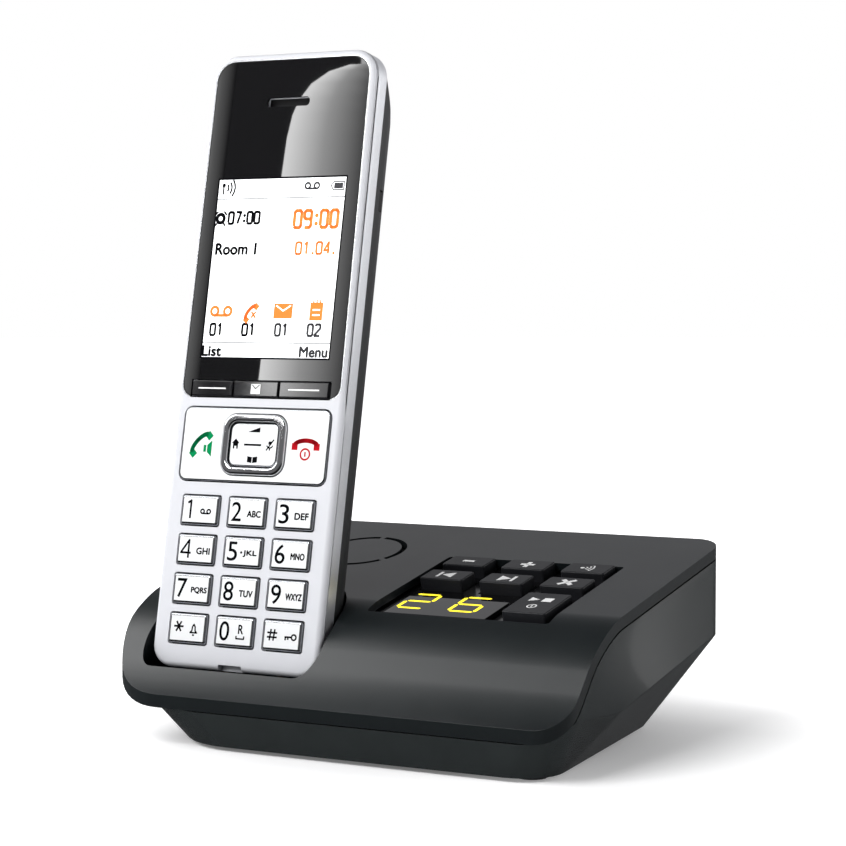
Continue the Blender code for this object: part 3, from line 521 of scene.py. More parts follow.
def digits(ink, text, left, base, height, pitch, width):
    """Digits of even lines, as a display draws them, from the left."""
    x = left
    for sign in text:
        narrow = sign in ":."
        for line in LINES.get(sign, []):
            stroke(ink, [(x + u * pitch * 0.68, base + v * height / 2) for u, v in line], width)
        for v in DOTS.get(sign, ()):
            disc(ink, (x + pitch * 0.2, base + v * height / 2), width * 0.62, 12)
        x += pitch * (0.62 if narrow else 1.0)


def printed(ink, origin, height):
    """The marks as thin solids, half sunk into the face at a height, about an origin."""
    bmesh.ops.scale(ink, verts=ink.verts, vec=(0.001, 0.001, 1.0))
    bmesh.ops.remove_doubles(ink, verts=ink.verts, dist=1e-7)
    extruded(ink, height - INK / 2, height + INK / 2)
    bmesh.ops.translate(ink, verts=ink.verts, vec=(origin[0], origin[1], 0))
    return ink


def loops(ink, centre, size, width):
    """Two small loops on a line, for messages."""
    x, y = centre
    for sign in (-1, 1):
        ring(ink, (x + sign * size, y), size * 0.55, width)
    stroke(ink, [(x - size, y - size * 0.55), (x + size, y - size * 0.55)], width)


def receiver(ink, centre, size, turn, width):
    """A telephone receiver: a bow with two blocks at its ends, turned about its centre."""
    bow = Matrix.Rotation(radians(turn), 2)
    place = [Vector(centre) + bow @ Vector(p) for p in arc((0, -size * 0.42), size, 22, 158, 14, 0.46)]
    stroke(ink, place, width)
    for sign in (-1, 1):
        x, y = sign * size * 0.90, -size * 0.38
        corners = [(x - width * 0.75, y - width * 0.8), (x + width * 0.75, y - width * 0.8),
                   (x + width * 0.75, y + width * 0.7), (x - width * 0.75, y + width * 0.7)]
        patch(ink, [Vector(centre) + bow @ Vector(p) for p in corners])


def envelope(ink, centre, size, width):
    x, y = centre
    w, h = size
    stroke(ink, [(x - w, y + h), (x, y - h * 0.35), (x + w, y + h)], width)


# --- Base ---
def profile(inset, front=-0.075, rear=0.075):
    """Corners (y, z) of the lid's side profile moved in by inset, from rear to front."""
    start_y, shoulder_radius, fall = SHOULDER
    run, toe_radius, level = TOE
    ahead = shoulder_radius * tan((fall - DECK_SLOPE) / 2)
    shoulder = Vector((start_y, 0.0392 + start_y * tan(DECK_SLOPE)))
    shoulder -= ahead * Vector((cos(DECK_SLOPE), sin(DECK_SLOPE)))
    length = ahead + run / cos(fall) + toe_radius * tan((fall - level) / 2)
    toe = shoulder - length * Vector((cos(fall), sin(fall)))

    def moved(corner, first, second):
        one, two = (Vector((sin(a), -cos(a))) for a in (first, second))
        return corner + (one + two) * (inset / (1 + one.dot(two)))

    rear_z = 0.0392 + rear * tan(DECK_SLOPE) - inset / cos(DECK_SLOPE)
    front_z = toe.y + (front - toe.x) * tan(level) - inset / cos(level)
    return [Vector((rear, rear_z)), moved(shoulder, DECK_SLOPE, fall), moved(toe, fall, level),
            Vector((front, front_z))]


def profile_radii(inset):
    return [0, SHOULDER[1] - inset, TOE[1] + inset, 0]


def sheet(upper, lower):
    """The slab between the side profile moved in by upper and by lower."""
    points = profile(upper) + profile(lower)[::-1]
    radii = profile_radii(upper) + profile_radii(lower)[::-1]
    return turned_to(extruded(polygon(points, radii, 22), -0.1, 0.1), SIDE)


def everything_above(inset):
    points = profile(inset) + [(-0.075, 0.12), (0.075, 0.12)]
    return turned_to(extruded(polygon(points, profile_radii(inset) + [0, 0], 22), -0.1, 0.1), SIDE)


def outline_block(inset):
    x, y = BASE_HALF[0] - inset, BASE_HALF[1] - inset
    corners = ((-x, -y), (x, -y), (x, y), (-x, y))
    return extruded(polygon(corners, [radius - inset for radius in BASE_RADII], 14), -0.02, 0.12)


def well(grow, top):
    """The space round the handset's foot, grown by grow, drawn in the handset's frame."""
    middle = 0.0105
    right = [Vector((half, depth - middle)) for half, depth in WELL_HALF]
    right = [away * (1 + grow / away.length) + Vector((0, middle)) for away in right]
    half, front, radius = WELL_FRONT[0] + grow, WELL_FRONT[1] - grow, WELL_FRONT[2] + grow
    points = [(half, front)] + [tuple(p) for p in right]
    points += [(-x, y) for x, y in reversed(points)]
    shape = polygon(points, [radius] + [0] * (len(points) - 2) + [radius], 8)
    extruded(shape, WELL_FLOOR - grow, top)
    upright = FACE @ Matrix.Rotation(radians(-90), 4, "X")
    return turned_to(shape, upright)


def hull(inset):
    """The tapered hull, moved inwards by inset."""
    signs = ((1, 1), (-1, 1), (-1, -1), (1, -1))
    rings = []
    for height in (HULL_FLOOR + inset, HULL_TOP + 0.012):
        share = (height - HULL_FLOOR) / (HULL_TOP - HULL_FLOOR)
        corners = [Vector(a).lerp(Vector(b), share) + Vector(sign) * inset
                   for a, b, sign in zip(FOOT_CORNERS, FLARE_CORNERS, signs)]
        radii = [max(a + (b - a) * share - inset, 0.002) for a, b in zip(FOOT_RADII, FLARE_RADII)]
        rings.append((corners, radii, height))
    return lofted(rings)


def slit_cutters():
    """Three arcs of the sound slit, with a bridge between each two."""
    cutters = bmesh.new()
    middle, width = sum(SLIT_RADII) / 2, SLIT_RADII[1] - SLIT_RADII[0]
    for index in range(3):
        first = 90 + 120 * index + 3.5
        ring(cutters, SPEAKER, middle, width, first, first + 113, 26)
    return turned_to(extruded(cutters, -0.005, 0.004), DECK)


def build_lid(sizes):
    lid = carved(sheet(0.0, RIM_HEIGHT), outline_block(0.0), "INTERSECT")
    outer = [edge for edge in lid.edges if edge.calc_face_angle(0) > radians(40)
             and abs(edge.verts[0].co.x - edge.verts[1].co.x) < 0.13]
    bmesh.ops.bevel(lid, geom=outer, offset=sizes.rim_softness, offset_type="OFFSET", affect="EDGES",
                    segments=3, profile=0.5, material=-1, clamp_overlap=True)
    hollow = carved(sheet(LID_THICKNESS, RIM_HEIGHT + 0.004), outline_block(WALL), "INTERSECT")
    lid = carved(lid, hollow)
    tub = carved(well(0.0016, 0.06), everything_above(LID_THICKNESS / 2))
    tub = carved(tub, hull(WALL + 0.0004), "INTERSECT")
    lid = carved(lid, tub, "UNION")
    lid = carved(lid, well(0.0, 0.07))
    for side in (-1, 1):
        slot = block((side * 0.0085 - 0.0014, side * 0.0085 + 0.0014), (-0.006, 0.002), (-0.0136, -0.0080))
        lid = carved(lid, turned_to(slot, FACE))
    lid = carved(lid, turned_to(block(*RECESS, (-0.010, 0.006), 0.0009), DECK))
    lid = carved(lid, slit_cutters())
    piece("lid", lid, WORLD, "base", ["lid_satin"], ["base_top_shell"], 28)


def build_hull():
    shell = carved(hull(0.0), outline_block(0.0), "INTERSECT")
    corners = [edge for edge in shell.edges if edge.calc_face_angle(0) > radians(25)
               and max(vert.co.z for vert in edge.verts) < HULL_TOP]
    bmesh.ops.bevel(shell, geom=corners, offset=0.0006, offset_type="OFFSET", affect="EDGES",
                    segments=3, profile=0.5, material=-1, clamp_overlap=True)
    shell = carved(shell, everything_above(RIM_HEIGHT + 0.0004))
    space = carved(hull(WALL), outline_block(WALL), "INTERSECT")
    shell = carved(shell, space)
    for x in (-0.040, 0.040):
        boss = bmesh.new()
        bmesh.ops.create_cone(boss, cap_ends=True, segments=28, radius1=0.0042, radius2=0.0042,
                              depth=0.0110, matrix=Matrix.Translation((x, 0.018, 0.0075)))
        shell = carved(shell, boss, "UNION")
        for radius, low, high in ((0.0016, -0.002, 0.020), (0.0031, -0.002, 0.0035)):
            bore = bmesh.new()
            bmesh.ops.create_cone(bore, cap_ends=True, segments=28, radius1=radius, radius2=radius,
                                  depth=high - low, matrix=Matrix.Translation((x, 0.018, (low + high) / 2)))
            shell = carved(shell, bore)
    for node in ("line_socket", "power_socket"):
        low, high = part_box(node)
        spans = [(a - 0.0003, b + 0.0003) for a, b in zip(low, high)]
        spans[1] = (spans[1][0], spans[1][1] + 0.004)
        shell = carved(shell, block(*spans))
    piece("hull", shell, WORLD, "base", ["hull_gloss"], ["base_bottom_shell"], 28)


def build_tray():
    (x0, x1), (y0, y1) = RECESS
    tray = block((x0 - 0.0008, x1 + 0.0015), (y0 + 0.0003, y1 + 0.0015),
                 (-TRAY_DROP - 0.0014, -TRAY_DROP), 0.0012)
    for name, (width, depth) in BASE_KEYS.items():
        centre = middle_of(f"key_{name}", DECK)
        w, d = width / 2 + KEY_GAP, depth / 2 + KEY_GAP
        tray = carved(tray, block((centre.x - w, centre.x + w), (centre.y - d, centre.y + d),
                                  (-0.008, 0.0)))
    piece("keypad_floor", tray, DECK, "base", ["tray_gloss"], ["keypad_tray"])
    window = block((0.0035, 0.0320), (-0.02044, -0.00715), (-TRAY_DROP + 0.0003, -0.0013), 0.0004)
    softened(window, 0.0002, 2, low=-0.00135)
    count = bpy.context.scene.phone_sizes.count
    ink = bmesh.new()
    for x, digit in zip((4.9, 19.4), count):
        segment_digit(ink, digit, (x, -16.0), (7.1, 10.4))
    marks = printed(ink, (0, 0), -0.0013)
    window = joined(window, marks, material_index=1)
    piece("counter_window", window, DECK, "base", ["window_gloss", "lit_segment"], ["display_window"])


SEGMENTS = {"0": "abcdef", "1": "bc", "2": "abged", "3": "abgcd", "4": "fgbc", "5": "afgcd",
            "6": "afgedc", "7": "abc", "8": "abcdefg", "9": "abcdfg"}


def segment_digit(ink, digit, corner, size):
    """A digit of seven pointed bars; corner is its lower left."""
    (x, y), (w, h) = corner, size
    ends = {"a": ((0, h), (w, h)), "b": ((w, h), (w, h / 2)), "c": ((w, h / 2), (w, 0)),
            "d": ((0, 0), (w, 0)), "e": ((0, h / 2), (0, 0)), "f": ((0, h), (0, h / 2)),
            "g": ((0, h / 2), (w, h / 2))}
    for label in SEGMENTS[digit]:
        start, end = (Vector(p) + Vector((x, y)) for p in ends[label])
        along = (end - start).normalized()
        side = Vector((-along.y, along.x)) * 0.5
        start, end = start + along * 0.25, end - along * 0.25
        patch(ink, [start, start + along * 0.5 - side, end - along * 0.5 - side, end,
                    end - along * 0.5 + side, start + along * 0.5 + side])


def base_mark(ink, name):
    if name == "volume_down":
        stroke(ink, [(-1.1, 0), (1.1, 0)], 0.75)
    elif name == "volume_up":
        stroke(ink, [(-1.3, 0), (1.3, 0)], 0.75)
        stroke(ink, [(0, -1.3), (0, 1.3)], 0.75)
    elif name == "paging":
        disc(ink, (-1.5, 0), 0.55)
        for radius in (1.3, 2.2, 3.1):
            stroke(ink, arc((-1.5, 0), radius, -38, 38, 8), 0.42)
    elif name in ("previous", "next"):
        sign = -1 if name == "previous" else 1
        tip, back = sign * 0.9, -sign * 1.3
        triangle = [(back, -1.25), (tip, 0), (back, 1.25)]
        patch(ink, triangle if sign > 0 else triangle[::-1])
        stroke(ink, [(sign * 1.35, -1.25), (sign * 1.35, 1.25)], 0.55)
    elif name == "delete":
        stroke(ink, [(-1.2, -1.2), (1.2, 1.2)], 0.8)
        stroke(ink, [(-1.2, 1.2), (1.2, -1.2)], 0.8)
    else:
        patch(ink, [(-3.0, 1.0), (-0.4, 2.4), (-3.0, 3.8)])
        patch(ink, [(0.5, 1.1), (3.1, 1.1), (3.1, 3.7), (0.5, 3.7)])
        ring(ink, (-0.1, -2.6), 1.15, 0.36)
        stroke(ink, [(-0.1, -3.1), (-0.1, -2.1)], 0.4)


def build_base_keys():
    for name, (width, depth) in BASE_KEYS.items():
        node = f"key_{name}"
        centre = middle_of(node, DECK)
        cap = block((-width / 2, width / 2), (-depth / 2, depth / 2), (-0.0062, 0.0006), 0.0007)
        softened(cap, 0.00035, 3, low=0.0005)
        bmesh.ops.translate(cap, verts=cap.verts, vec=(centre.x, centre.y, 0))
        ink = bmesh.new()
        base_mark(ink, name)
        if name not in ("paging", "play_stop"):
            bmesh.ops.scale(ink, verts=ink.verts, vec=(1.5, 1.5, 1))
        cap = joined(cap, printed(ink, (centre.x, centre.y), 0.0006), material_index=1)
        piece(f"base_{node}", cap, DECK, node, ["key_satin", "white_print"], [node])


# --- Handset ---
def face_outline(inset=0.0):
    x = HALF_WIDTH - inset
    corners = ((-x, inset), (x, inset), (x, LENGTH - inset), (-x, LENGTH - inset))
    return polygon(corners, [r - inset for r in (BOTTOM_RADIUS, BOTTOM_RADIUS, TOP_RADIUS, TOP_RADIUS)], 12)


def face_solid(sizes, back):
    """The face's solid with its rounded front edge, from its front to the depth back."""
    solid = extruded(face_outline(), -back, 0.0)
    return softened(solid, sizes.face_softness, 6, low=-1e-5)


def behind_seam(shift):
    """Everything behind the seam that parts the face from the side band."""
    points = [(-0.0018 - shift, -0.03), (-0.0018 - shift, 0.0620), (-0.0005 - shift, 0.0720),
              (-0.0005 - shift, 0.18), (-0.03, 0.18), (-0.03, -0.03)]
    shape = extruded(polygon(points, [0, 0.006, 0.006, 0, 0, 0], 6), -0.1, 0.1)
    # drawn (depth, length), deep in x
    return turned_to(shape, Matrix(((0, 0, 1, 0), (0, 1, 0, 0), (1, 0, 0, 0), (0, 0, 0, 1))))


def lens_shape(grow, low, high, radii=(0.0032, 0.0052)):
    z0, z1, lower, upper = LENS
    corners = ((-lower - grow, z0 - grow), (lower + grow, z0 - grow),
               (upper + grow, z1 + grow), (-upper - grow, z1 + grow))
    rounding = [radii[0] + grow] * 2 + [radii[1] + grow] * 2
    return extruded(polygon(corners, rounding, 10), low, high)


def dial_nodes():
    return [f"key_{name}" for name in ("1", "2", "3", "4", "5", "6", "7", "8", "9", "star", "0", "hash")]


def build_cover(sizes):
    cover = carved(face_solid(sizes, 0.0018), behind_seam(0.0))
    cover = carved(cover, lens_shape(0.0003, -0.0011, 0.002))
    half, low, high = PLATE
    gap = KEY_GAP
    cover = carved(cover, block((-half - gap, half + gap), (low - gap, high + gap), (-0.004, 0.002), 0.0024))
    cover = carved(cover, block((SOFT_EDGES[0] - gap, SOFT_EDGES[-1] + gap), (SOFT[0] - gap, SOFT[1] + gap),
                                (-0.006, 0.003)))
    cover = carved(cover, block((SLOT[0], SLOT[1]), (SLOT[2], SLOT[3]), (-0.004, 0.001)))
    w, h = DIAL_SIZE[0] / 2 + gap, DIAL_SIZE[1] / 2 + gap
    holes = bmesh.new()
    for node in dial_nodes():
        centre = middle_of(node, FACE)
        holes = joined(holes, block((centre.x - w, centre.x + w), (centre.y - h, centre.y + h),
                                    (-0.004, 0.002), 0.0008))
    cover = carved(cover, holes)
    cover = carved(cover, block((-0.0042, 0.0028), (-0.001, 0.0014), (-0.0030, 0.001), 0.0003))
    softened(cover, 0.00018, 2, low=-1e-5, high=1e-5)
    piece("face_cover", cover, FACE, "handset", ["silver_lacquer"], ["handset_front_cover"],
          25)


def build_band(sizes):
    band = carved(face_solid(sizes, 0.0059), behind_seam(sizes.seam), "INTERSECT")
    band = carved(band, extruded(face_outline(0.0016), -0.01, 0.01))
    softened(band, 0.00025, 2, high=-0.0058)
    piece("side_band", band, FACE, "handset", ["band_silver"], ["handset_side_band"], 30)


def soft_key_opening():
    return block((SOFT_EDGES[0] - KEY_GAP, SOFT_EDGES[-1] + KEY_GAP),
                 (SOFT[0] - 0.003, SOFT[1] + KEY_GAP), (-0.006, 0.003))


def build_display():
    lens = lens_shape(0.0, -0.0009, -0.0001)
    softened(lens, 0.00022, 3, low=-0.00011)
    lens = carved(lens, block((SLOT[0], SLOT[1]), (SLOT[2], SLOT[3]), (-0.003, 0.001), 0.0010, 6))
    lens = carved(lens, soft_key_opening())
    lens = carved(lens, block(SCREEN[:2], SCREEN[2:], (-0.003, 0.001), 0.0002))
    piece("lens", lens, FACE, "handset", ["lens_gloss"], ["display_lens"])
    lip = carved(lens_shape(0.00026, -0.0007, -0.00002), lens_shape(0.00003, -0.002, 0.002))
    lip = carved(lip, soft_key_opening())
    piece("lens_edge", lip, FACE, "handset", ["lens_lip"])
    x0, x1, z0, z1 = SCREEN
    panel = block((x0, x1), (z0, z1), (-0.0008, -0.00016), 0.0002)
    piece("screen_panel", panel, FACE, "handset", ["screen_white"])
    screen_marks()


def screen_marks():
    """What the display shows: a status line, two times, four counters and two labels. Round the screen's
    edge, a black line of painted shade stands in for the bezel's inner shadow.
    """
    height = -0.00016
    inks = {name: bmesh.new() for name in ("black_print", "grey_print", "amber_print")}
    black, grey, amber = (inks[name] for name in ("black_print", "grey_print", "amber_print"))
    x0, x1, z0, z1 = (1000 * edge for edge in SCREEN)
    # A black line just inside the screen's edge: painted shade for the bezel's inner shadow, not something
    # the display shows.
    frame = 0.22
    stroke(black, [(x0 + frame, z0 + frame), (x1 - frame, z0 + frame), (x1 - frame, z1 - frame),
                   (x0 + frame, z1 - frame)], 2 * frame, True)
    disc(black, (-17.7, 124.0), 0.55)
    stroke(black, [(-17.7, 124.0), (-17.7, 121.6)], 0.45)
    for radius in (1.3, 2.3, 3.3):
        stroke(black, arc((-17.5, 123.3), radius, -40, 40, 8), 0.5)
    loops(grey, (9.35, 123.4), 1.35, 0.55)
    stroke(grey, [(15.0, 123.3), (15.7, 124.3), (18.8, 124.3), (18.8, 122.2), (15.7, 122.2)], 0.3, True)
    patch(grey, [(15.9, 122.5), (18.5, 122.5), (18.5, 124.0), (15.9, 124.0)])
    stroke(grey, [(SCREEN[0] * 1000 + 0.3, 120.4), (SCREEN[1] * 1000 - 0.3, 120.4)], 0.22)
    ring(black, (-17.7, 115.3), 1.1, 0.95)
    for sign in (-1, 1):
        stroke(black, [(-17.7 + sign * 1.8, 116.2), (-17.7 + sign * 0.9, 117.2)], 0.5)
        stroke(black, [(-17.7 + sign * 0.9, 114.2), (-17.7 + sign * 1.6, 113.4)], 0.5)
    digits(black, "07:00", -15.2, 113.9, 3.0, 2.2, 0.70)
    digits(amber, "09:00", 5.0, 112.6, 4.4, 3.0, 0.92)
    lettering(black, "Room 1", (-12.0, 107.3), 2.9, 12.4, 0.32)
    digits(amber, "01.04.", 6.3, 105.8, 3.0, 2.35, 0.62)
    loops(amber, (-14.5, 91.1), 2.0, 0.75)
    receiver(amber, (-6.0, 91.2), 2.4, 52, 1.0)
    for sign in (-1, 1):
        stroke(amber, [(-4.5 - 0.7, 90.2 - sign * 0.8), (-4.5 + 0.7, 90.2 + sign * 0.8)], 0.5)
    patch(amber, [(1.6, 89.3), (7.2, 89.3), (7.2, 93.1), (1.6, 93.1)])
    patch(amber, [(12.4, 88.8), (16.2, 88.8), (16.2, 93.4), (12.4, 93.4)])
    for x in (13.3, 14.3, 15.3):
        stroke(amber, [(x, 93.2), (x, 94.2)], 0.35)
    for text, x in (("01", -15.4), ("01", -5.55), ("01", 4.45), ("02", 14.2)):
        digits(black if x < 0 else grey, text, x - 1.9, 84.9, 2.9, 2.2, 0.66)
    stroke(grey, [(-19.3, 83.0), (19.4, 83.0)], 0.22)
    lettering(black, "List", (-16.2, 80.8), 2.6, 5.8, 0.32)
    lettering(grey, "Menu", (14.6, 80.8), 2.6, 8.2, 0.32)
    for label, ink in inks.items():
        slot = printed(ink, (0, 0), height)
        piece(f"screen_{label}", slot, FACE, "handset", [label])
    cuts = bmesh.new()
    envelope(cuts, (4.4, 91.6), (2.2, 1.0), 0.35)
    for y in (90.2, 91.5):
        stroke(cuts, [(13.2, y), (15.4, y)], 0.4)
    piece("screen_icon_lines", printed(cuts, (0, 0), height + 0.00002), FACE, "handset", ["screen_white"])


def build_soft_keys():
    for name, x0, x1 in zip(("left", "message", "right"), SOFT_EDGES, SOFT_EDGES[1:]):
        node = f"soft_key_{name}"
        x0, x1 = x0 + KEY_GAP / 2, x1 - KEY_GAP / 2
        cap = block((x0, x1), SOFT, (-0.0026, 0.0003), 0.0004)
        softened(cap, 0.0003, 3, low=0.0002)
        ink = bmesh.new()
        middle = ((x0 + x1) / 2, sum(SOFT) / 2)
        finishes = ["soft_gloss", "white_print"]
        if name == "message":
            patch(ink, [(-1.4, -1.25), (1.4, -1.25), (1.4, 1.25), (-1.4, 1.25)])
            lines = bmesh.new()
            envelope(lines, (0, 0.35), (1.1, 0.7), 0.28)
            cap = joined(cap, printed(ink, middle, 0.0003), material_index=1)
            cap = joined(cap, printed(lines, middle, 0.00032), material_index=2)
            finishes.append("grey_print")
        else:
            reach = 4.2 if name == "left" else 4.6
            stroke(ink, [(-reach, 0), (reach, 0)], 0.34)
            cap = joined(cap, printed(ink, middle, 0.0003), material_index=1)
        piece(f"glossy_{node}", cap, FACE, node, finishes, [node])


def build_call_plate():
    half, low, high = PLATE
    plate = block((-half, half), (low, high), (-0.0020, 0.0003), 0.0021, 8)
    edged(softened(plate, 0.0004, 3, low=0.0002), 0.0003)
    x, z = RING_SIZE[0] / 2 + 0.0003, RING_SIZE[1] / 2 + 0.0003
    plate = carved(plate, block((-x, x), (NAV_Z - z, NAV_Z + z), (-0.006, 0.004), 0.0040, 10))
    softened(plate, 0.00015, 2, low=0.00029)
    green, red = bmesh.new(), bmesh.new()
    receiver(green, (-17.0, 57.6), 3.6, 45, 1.2)
    patch(green, [(-15.2, 54.7), (-14.4, 54.7), (-14.4, 56.5), (-15.2, 56.5)])
    patch(green, [(-14.1, 54.7), (-12.7, 53.5), (-12.7, 57.7), (-14.1, 56.5)])
    receiver(red, (15.5, 58.3), 3.6, 0, 1.15)
    ring(red, (15.5, 55.0), 1.35, 0.46)
    stroke(red, [(15.5, 54.4), (15.5, 55.6)], 0.46)
    plate = joined(plate, printed(green, (0, 0), 0.0003), material_index=2)
    plate = joined(plate, printed(red, (0, 0), 0.0003), material_index=3)
    finishes = ["key_silver", "key_edge", "green_print", "red_print"]
    piece("call_and_end_plate", plate, FACE, "call_plate", finishes, ["call_plate"])


def build_navigation():
    x, z = RING_SIZE[0] / 2, RING_SIZE[1] / 2
    outer = block((-x, x), (-z, z), (-0.0026, 0.0010), 0.0037, 12)
    softened(outer, 0.0007, 5, low=0.0009)
    x, z = PAD_SIZE[0] / 2, PAD_SIZE[1] / 2
    grown_x, grown_z = x + 0.0003, z + 0.0003
    rim = carved(outer, block((-grown_x, grown_x), (-grown_z, grown_z), (-0.005, 0.003), 0.0023, 10))
    softened(rim, 0.0006, 4, low=0.0009)
    bmesh.ops.translate(rim, verts=rim.verts, vec=(0, NAV_Z, 0))
    piece("chrome_frame", rim, FACE, "navigation_ring", ["chrome"], ["navigation_ring"])
    pad = block((-x, x), (-z, z), (-0.0026, 0.0004), 0.0020, 8)
    edged(softened(pad, 0.0004, 3, low=0.0003), 0.0004)
    bmesh.ops.translate(pad, verts=pad.verts, vec=(0, NAV_Z, 0))
    ink = bmesh.new()
    y = NAV_Z * 1000
    patch(ink, [(-2.1, y + 3.2), (1.6, y + 3.2), (1.6, y + 4.5)])
    patch(ink, [(-6.6, y + 0.3), (-4.3, y + 0.3), (-5.45, y + 1.5)])
    patch(ink, [(-6.2, y - 1.1), (-5.75, y - 1.1), (-5.75, y + 0.3), (-6.2, y + 0.3)])
    patch(ink, [(-5.15, y - 1.1), (-4.7, y - 1.1), (-4.7, y + 0.3), (-5.15, y + 0.3)])
    patch(ink, [(-5.75, y - 0.4), (-5.15, y - 0.4), (-5.15, y + 0.3), (-5.75, y + 0.3)])
    stroke(ink, [(-2.9, y), (2.3, y)], 0.52)
    stroke(ink, [(4.9, y + 0.2), (4.9, y + 1.0)], 0.9)
    stroke(ink, arc((4.9, y + 0.3), 0.95, 200, 340, 8), 0.34)
    stroke(ink, [(4.9, y - 0.6), (4.9, y - 1.3)], 0.36)
    stroke(ink, [(3.9, y - 1.3), (6.0, y + 1.5)], 0.36)
    for sign in (-1, 1):
        inner, outer = sign * 0.1, sign * 1.5
        patch(ink, [(inner, y - 4.6), (outer, y - 4.4), (outer, y - 2.9), (inner, y - 3.1)])
    pad = joined(pad, printed(ink, (0, 0), 0.0004), material_index=2)
    piece("navigation_cap", pad, FACE, "navigation_pad", ["key_silver", "key_edge", "black_print"],
          ["navigation_pad"])


def dial_mark(ink, label):
    """A digit at the left of a dial key and its letters or sign at the right."""
    if label == "1":
        stroke(ink, [(-3.7, 1.7), (-2.75, 2.35), (-2.75, -2.2)], 0.58)
    elif label == "4":
        stroke(ink, [(-2.1, -2.25), (-2.1, 2.3), (-4.4, -0.95), (-1.35, -0.95)], 0.54)
    elif label in DIAL_LETTERS or label == "0":
        lettering(ink, label, (-2.9, 0.1), 4.8, 2.9, 0.07)
    if label in DIAL_LETTERS:
        letters = DIAL_LETTERS[label]
        lettering(ink, letters, (2.35, -0.35), 1.6, 4.0 if len(letters) == 3 else 4.7, 0.17)
    if label == "5":
        disc(ink, (-0.25, -0.1), 0.32, 12)
    elif label == "1":
        loops(ink, (1.9, -0.3), 0.95, 0.42)
    elif label == "0":
        lettering(ink, "R", (2.0, 0.75), 2.2, 1.4, 0.14)
        stroke(ink, [(0.8, -0.9), (0.8, -1.6), (3.1, -1.6), (3.1, -0.9)], 0.38)
    elif label == "star":
        for turn in (0, 60, 120):
            reach = Matrix.Rotation(radians(turn), 2) @ Vector((1.45, 0))
            stroke(ink, [Vector((-2.6, 0.4)) - reach, Vector((-2.6, 0.4)) + reach], 0.48)
        stroke(ink, [(1.0, -1.0), (1.5, -0.5), (1.6, 0.5), (2.0, 1.1), (2.4, 0.5), (2.5, -0.5), (3.0, -1.0)],
               0.40, True)
        stroke(ink, [(1.7, -1.6), (2.3, -1.6)], 0.42)
    elif label == "hash":
        for offset in (-0.55, 0.55):
            stroke(ink, [(-2.8 + offset - 0.15, -1.35), (-2.8 + offset + 0.15, 1.5)], 0.45)
            stroke(ink, [(-4.25, offset + 0.05), (-1.35, offset + 0.05)], 0.45)
        ring(ink, (3.6, -0.2), 0.66, 0.42)
        stroke(ink, [(3.0, -0.2), (0.9, -0.2)], 0.44)
        stroke(ink, [(1.15, -0.2), (1.15, -1.0)], 0.44)
        stroke(ink, [(1.9, -0.2), (1.9, -0.85)], 0.44)


def build_dial_keys(sizes):
    w, h = DIAL_SIZE[0] / 2, DIAL_SIZE[1] / 2
    for node in dial_nodes():
        centre = middle_of(node, FACE)
        cap = block((-w, w), (-h, h), (-0.0026, 0.0006), 0.0007)
        edged(softened(cap, sizes.key_softness, 4, low=0.0005), 0.0006)
        bmesh.ops.translate(cap, verts=cap.verts, vec=(centre.x, centre.y, 0))
        ink = bmesh.new()
        dial_mark(ink, node[4:])
        cap = joined(cap, printed(ink, (centre.x, centre.y), 0.0006), material_index=2)
        piece(f"dial_{node}", cap, FACE, node, ["key_silver", "key_edge", "black_print"], [node])


def back_rows():
    """The back's sections with three more between each two, on a smooth curve."""
    rows = [BACK_SECTIONS[0]]
    count = len(BACK_SECTIONS)
    for index in range(count - 1):
        before, first, second, after = (BACK_SECTIONS[min(max(index + step, 0), count - 1)]
                                        for step in (-1, 0, 1, 2))
        for share in (0.25, 0.5, 0.75, 1.0):
            rows.append(tuple(
                0.5 * (2 * b + (c - a) * share + (2 * a - 5 * b + 4 * c - d) * share ** 2
                       + (3 * b - a - 3 * c + d) * share ** 3)
                for a, b, c, d in zip(before, first, second, after)))
    return rows


def back_solid(inset, start, deepest):
    rings = []
    for depth, sides, lower, upper, low_radius, top_radius in back_rows():
        if depth > deepest - 0.0002 and rings:
            depth = deepest
        x, low, high = HALF_WIDTH - sides - inset, lower + inset, LENGTH - upper - inset
        corners = ((-x, low), (x, low), (x, high), (-x, high))
        radii = [max(r - inset, 0.001) for r in (low_radius, low_radius, top_radius, top_radius)]
        rings.append((corners, radii, -(start if not rings else depth)))
        if depth >= deepest:
            break
    return lofted(rings)


def back_outside():
    return softened(back_solid(0.0, 0.0062, 0.0252), 0.0008, 3, high=-0.0250, sharp=radians(20))


def back_inside():
    return back_solid(0.0016, 0.0052, 0.0236)


def build_back():
    shell = carved(back_outside(), back_inside())
    opening = ((-0.0140, 0.0140), (0.0400, 0.0990))
    shell = carved(shell, block(*opening, (-0.030, -0.0175), 0.0030))
    for n in range(3):
        low = 0.1180 + n * 0.0030
        shell = carved(shell, block((-0.006, 0.006), (low, low + 0.0012), (-0.030, -0.0215), 0.0005))
    shell = carved(shell, block((0.0200, 0.0300), (0.1185, 0.1240), (-0.0108, -0.0084)))
    for side in (-1, 1):
        x = side * 0.0085
        shell = carved(shell, block((x - 0.0017, x + 0.0017), (-0.001, 0.006), (-0.0131, -0.0085)))
    piece("back_shell", shell, FACE, "handset", ["shell_satin"], ["handset_rear_shell"], 30)
    cover = block((-0.0137, 0.0137), (0.0403, 0.0987), (-0.030, -0.0175), 0.0027)
    cover = carved(cover, back_outside(), "INTERSECT")
    cover = carved(cover, back_inside())
    for n in range(5):
        low = 0.0890 + n * 0.0012
        cover = carved(cover, block((-0.0055, 0.0055), (low, low + 0.0005), (-0.030, -0.0248), 0.0002))
    piece("back_cover", cover, FACE, "battery_cover", ["shell_satin"], ["battery_cover"], 30)


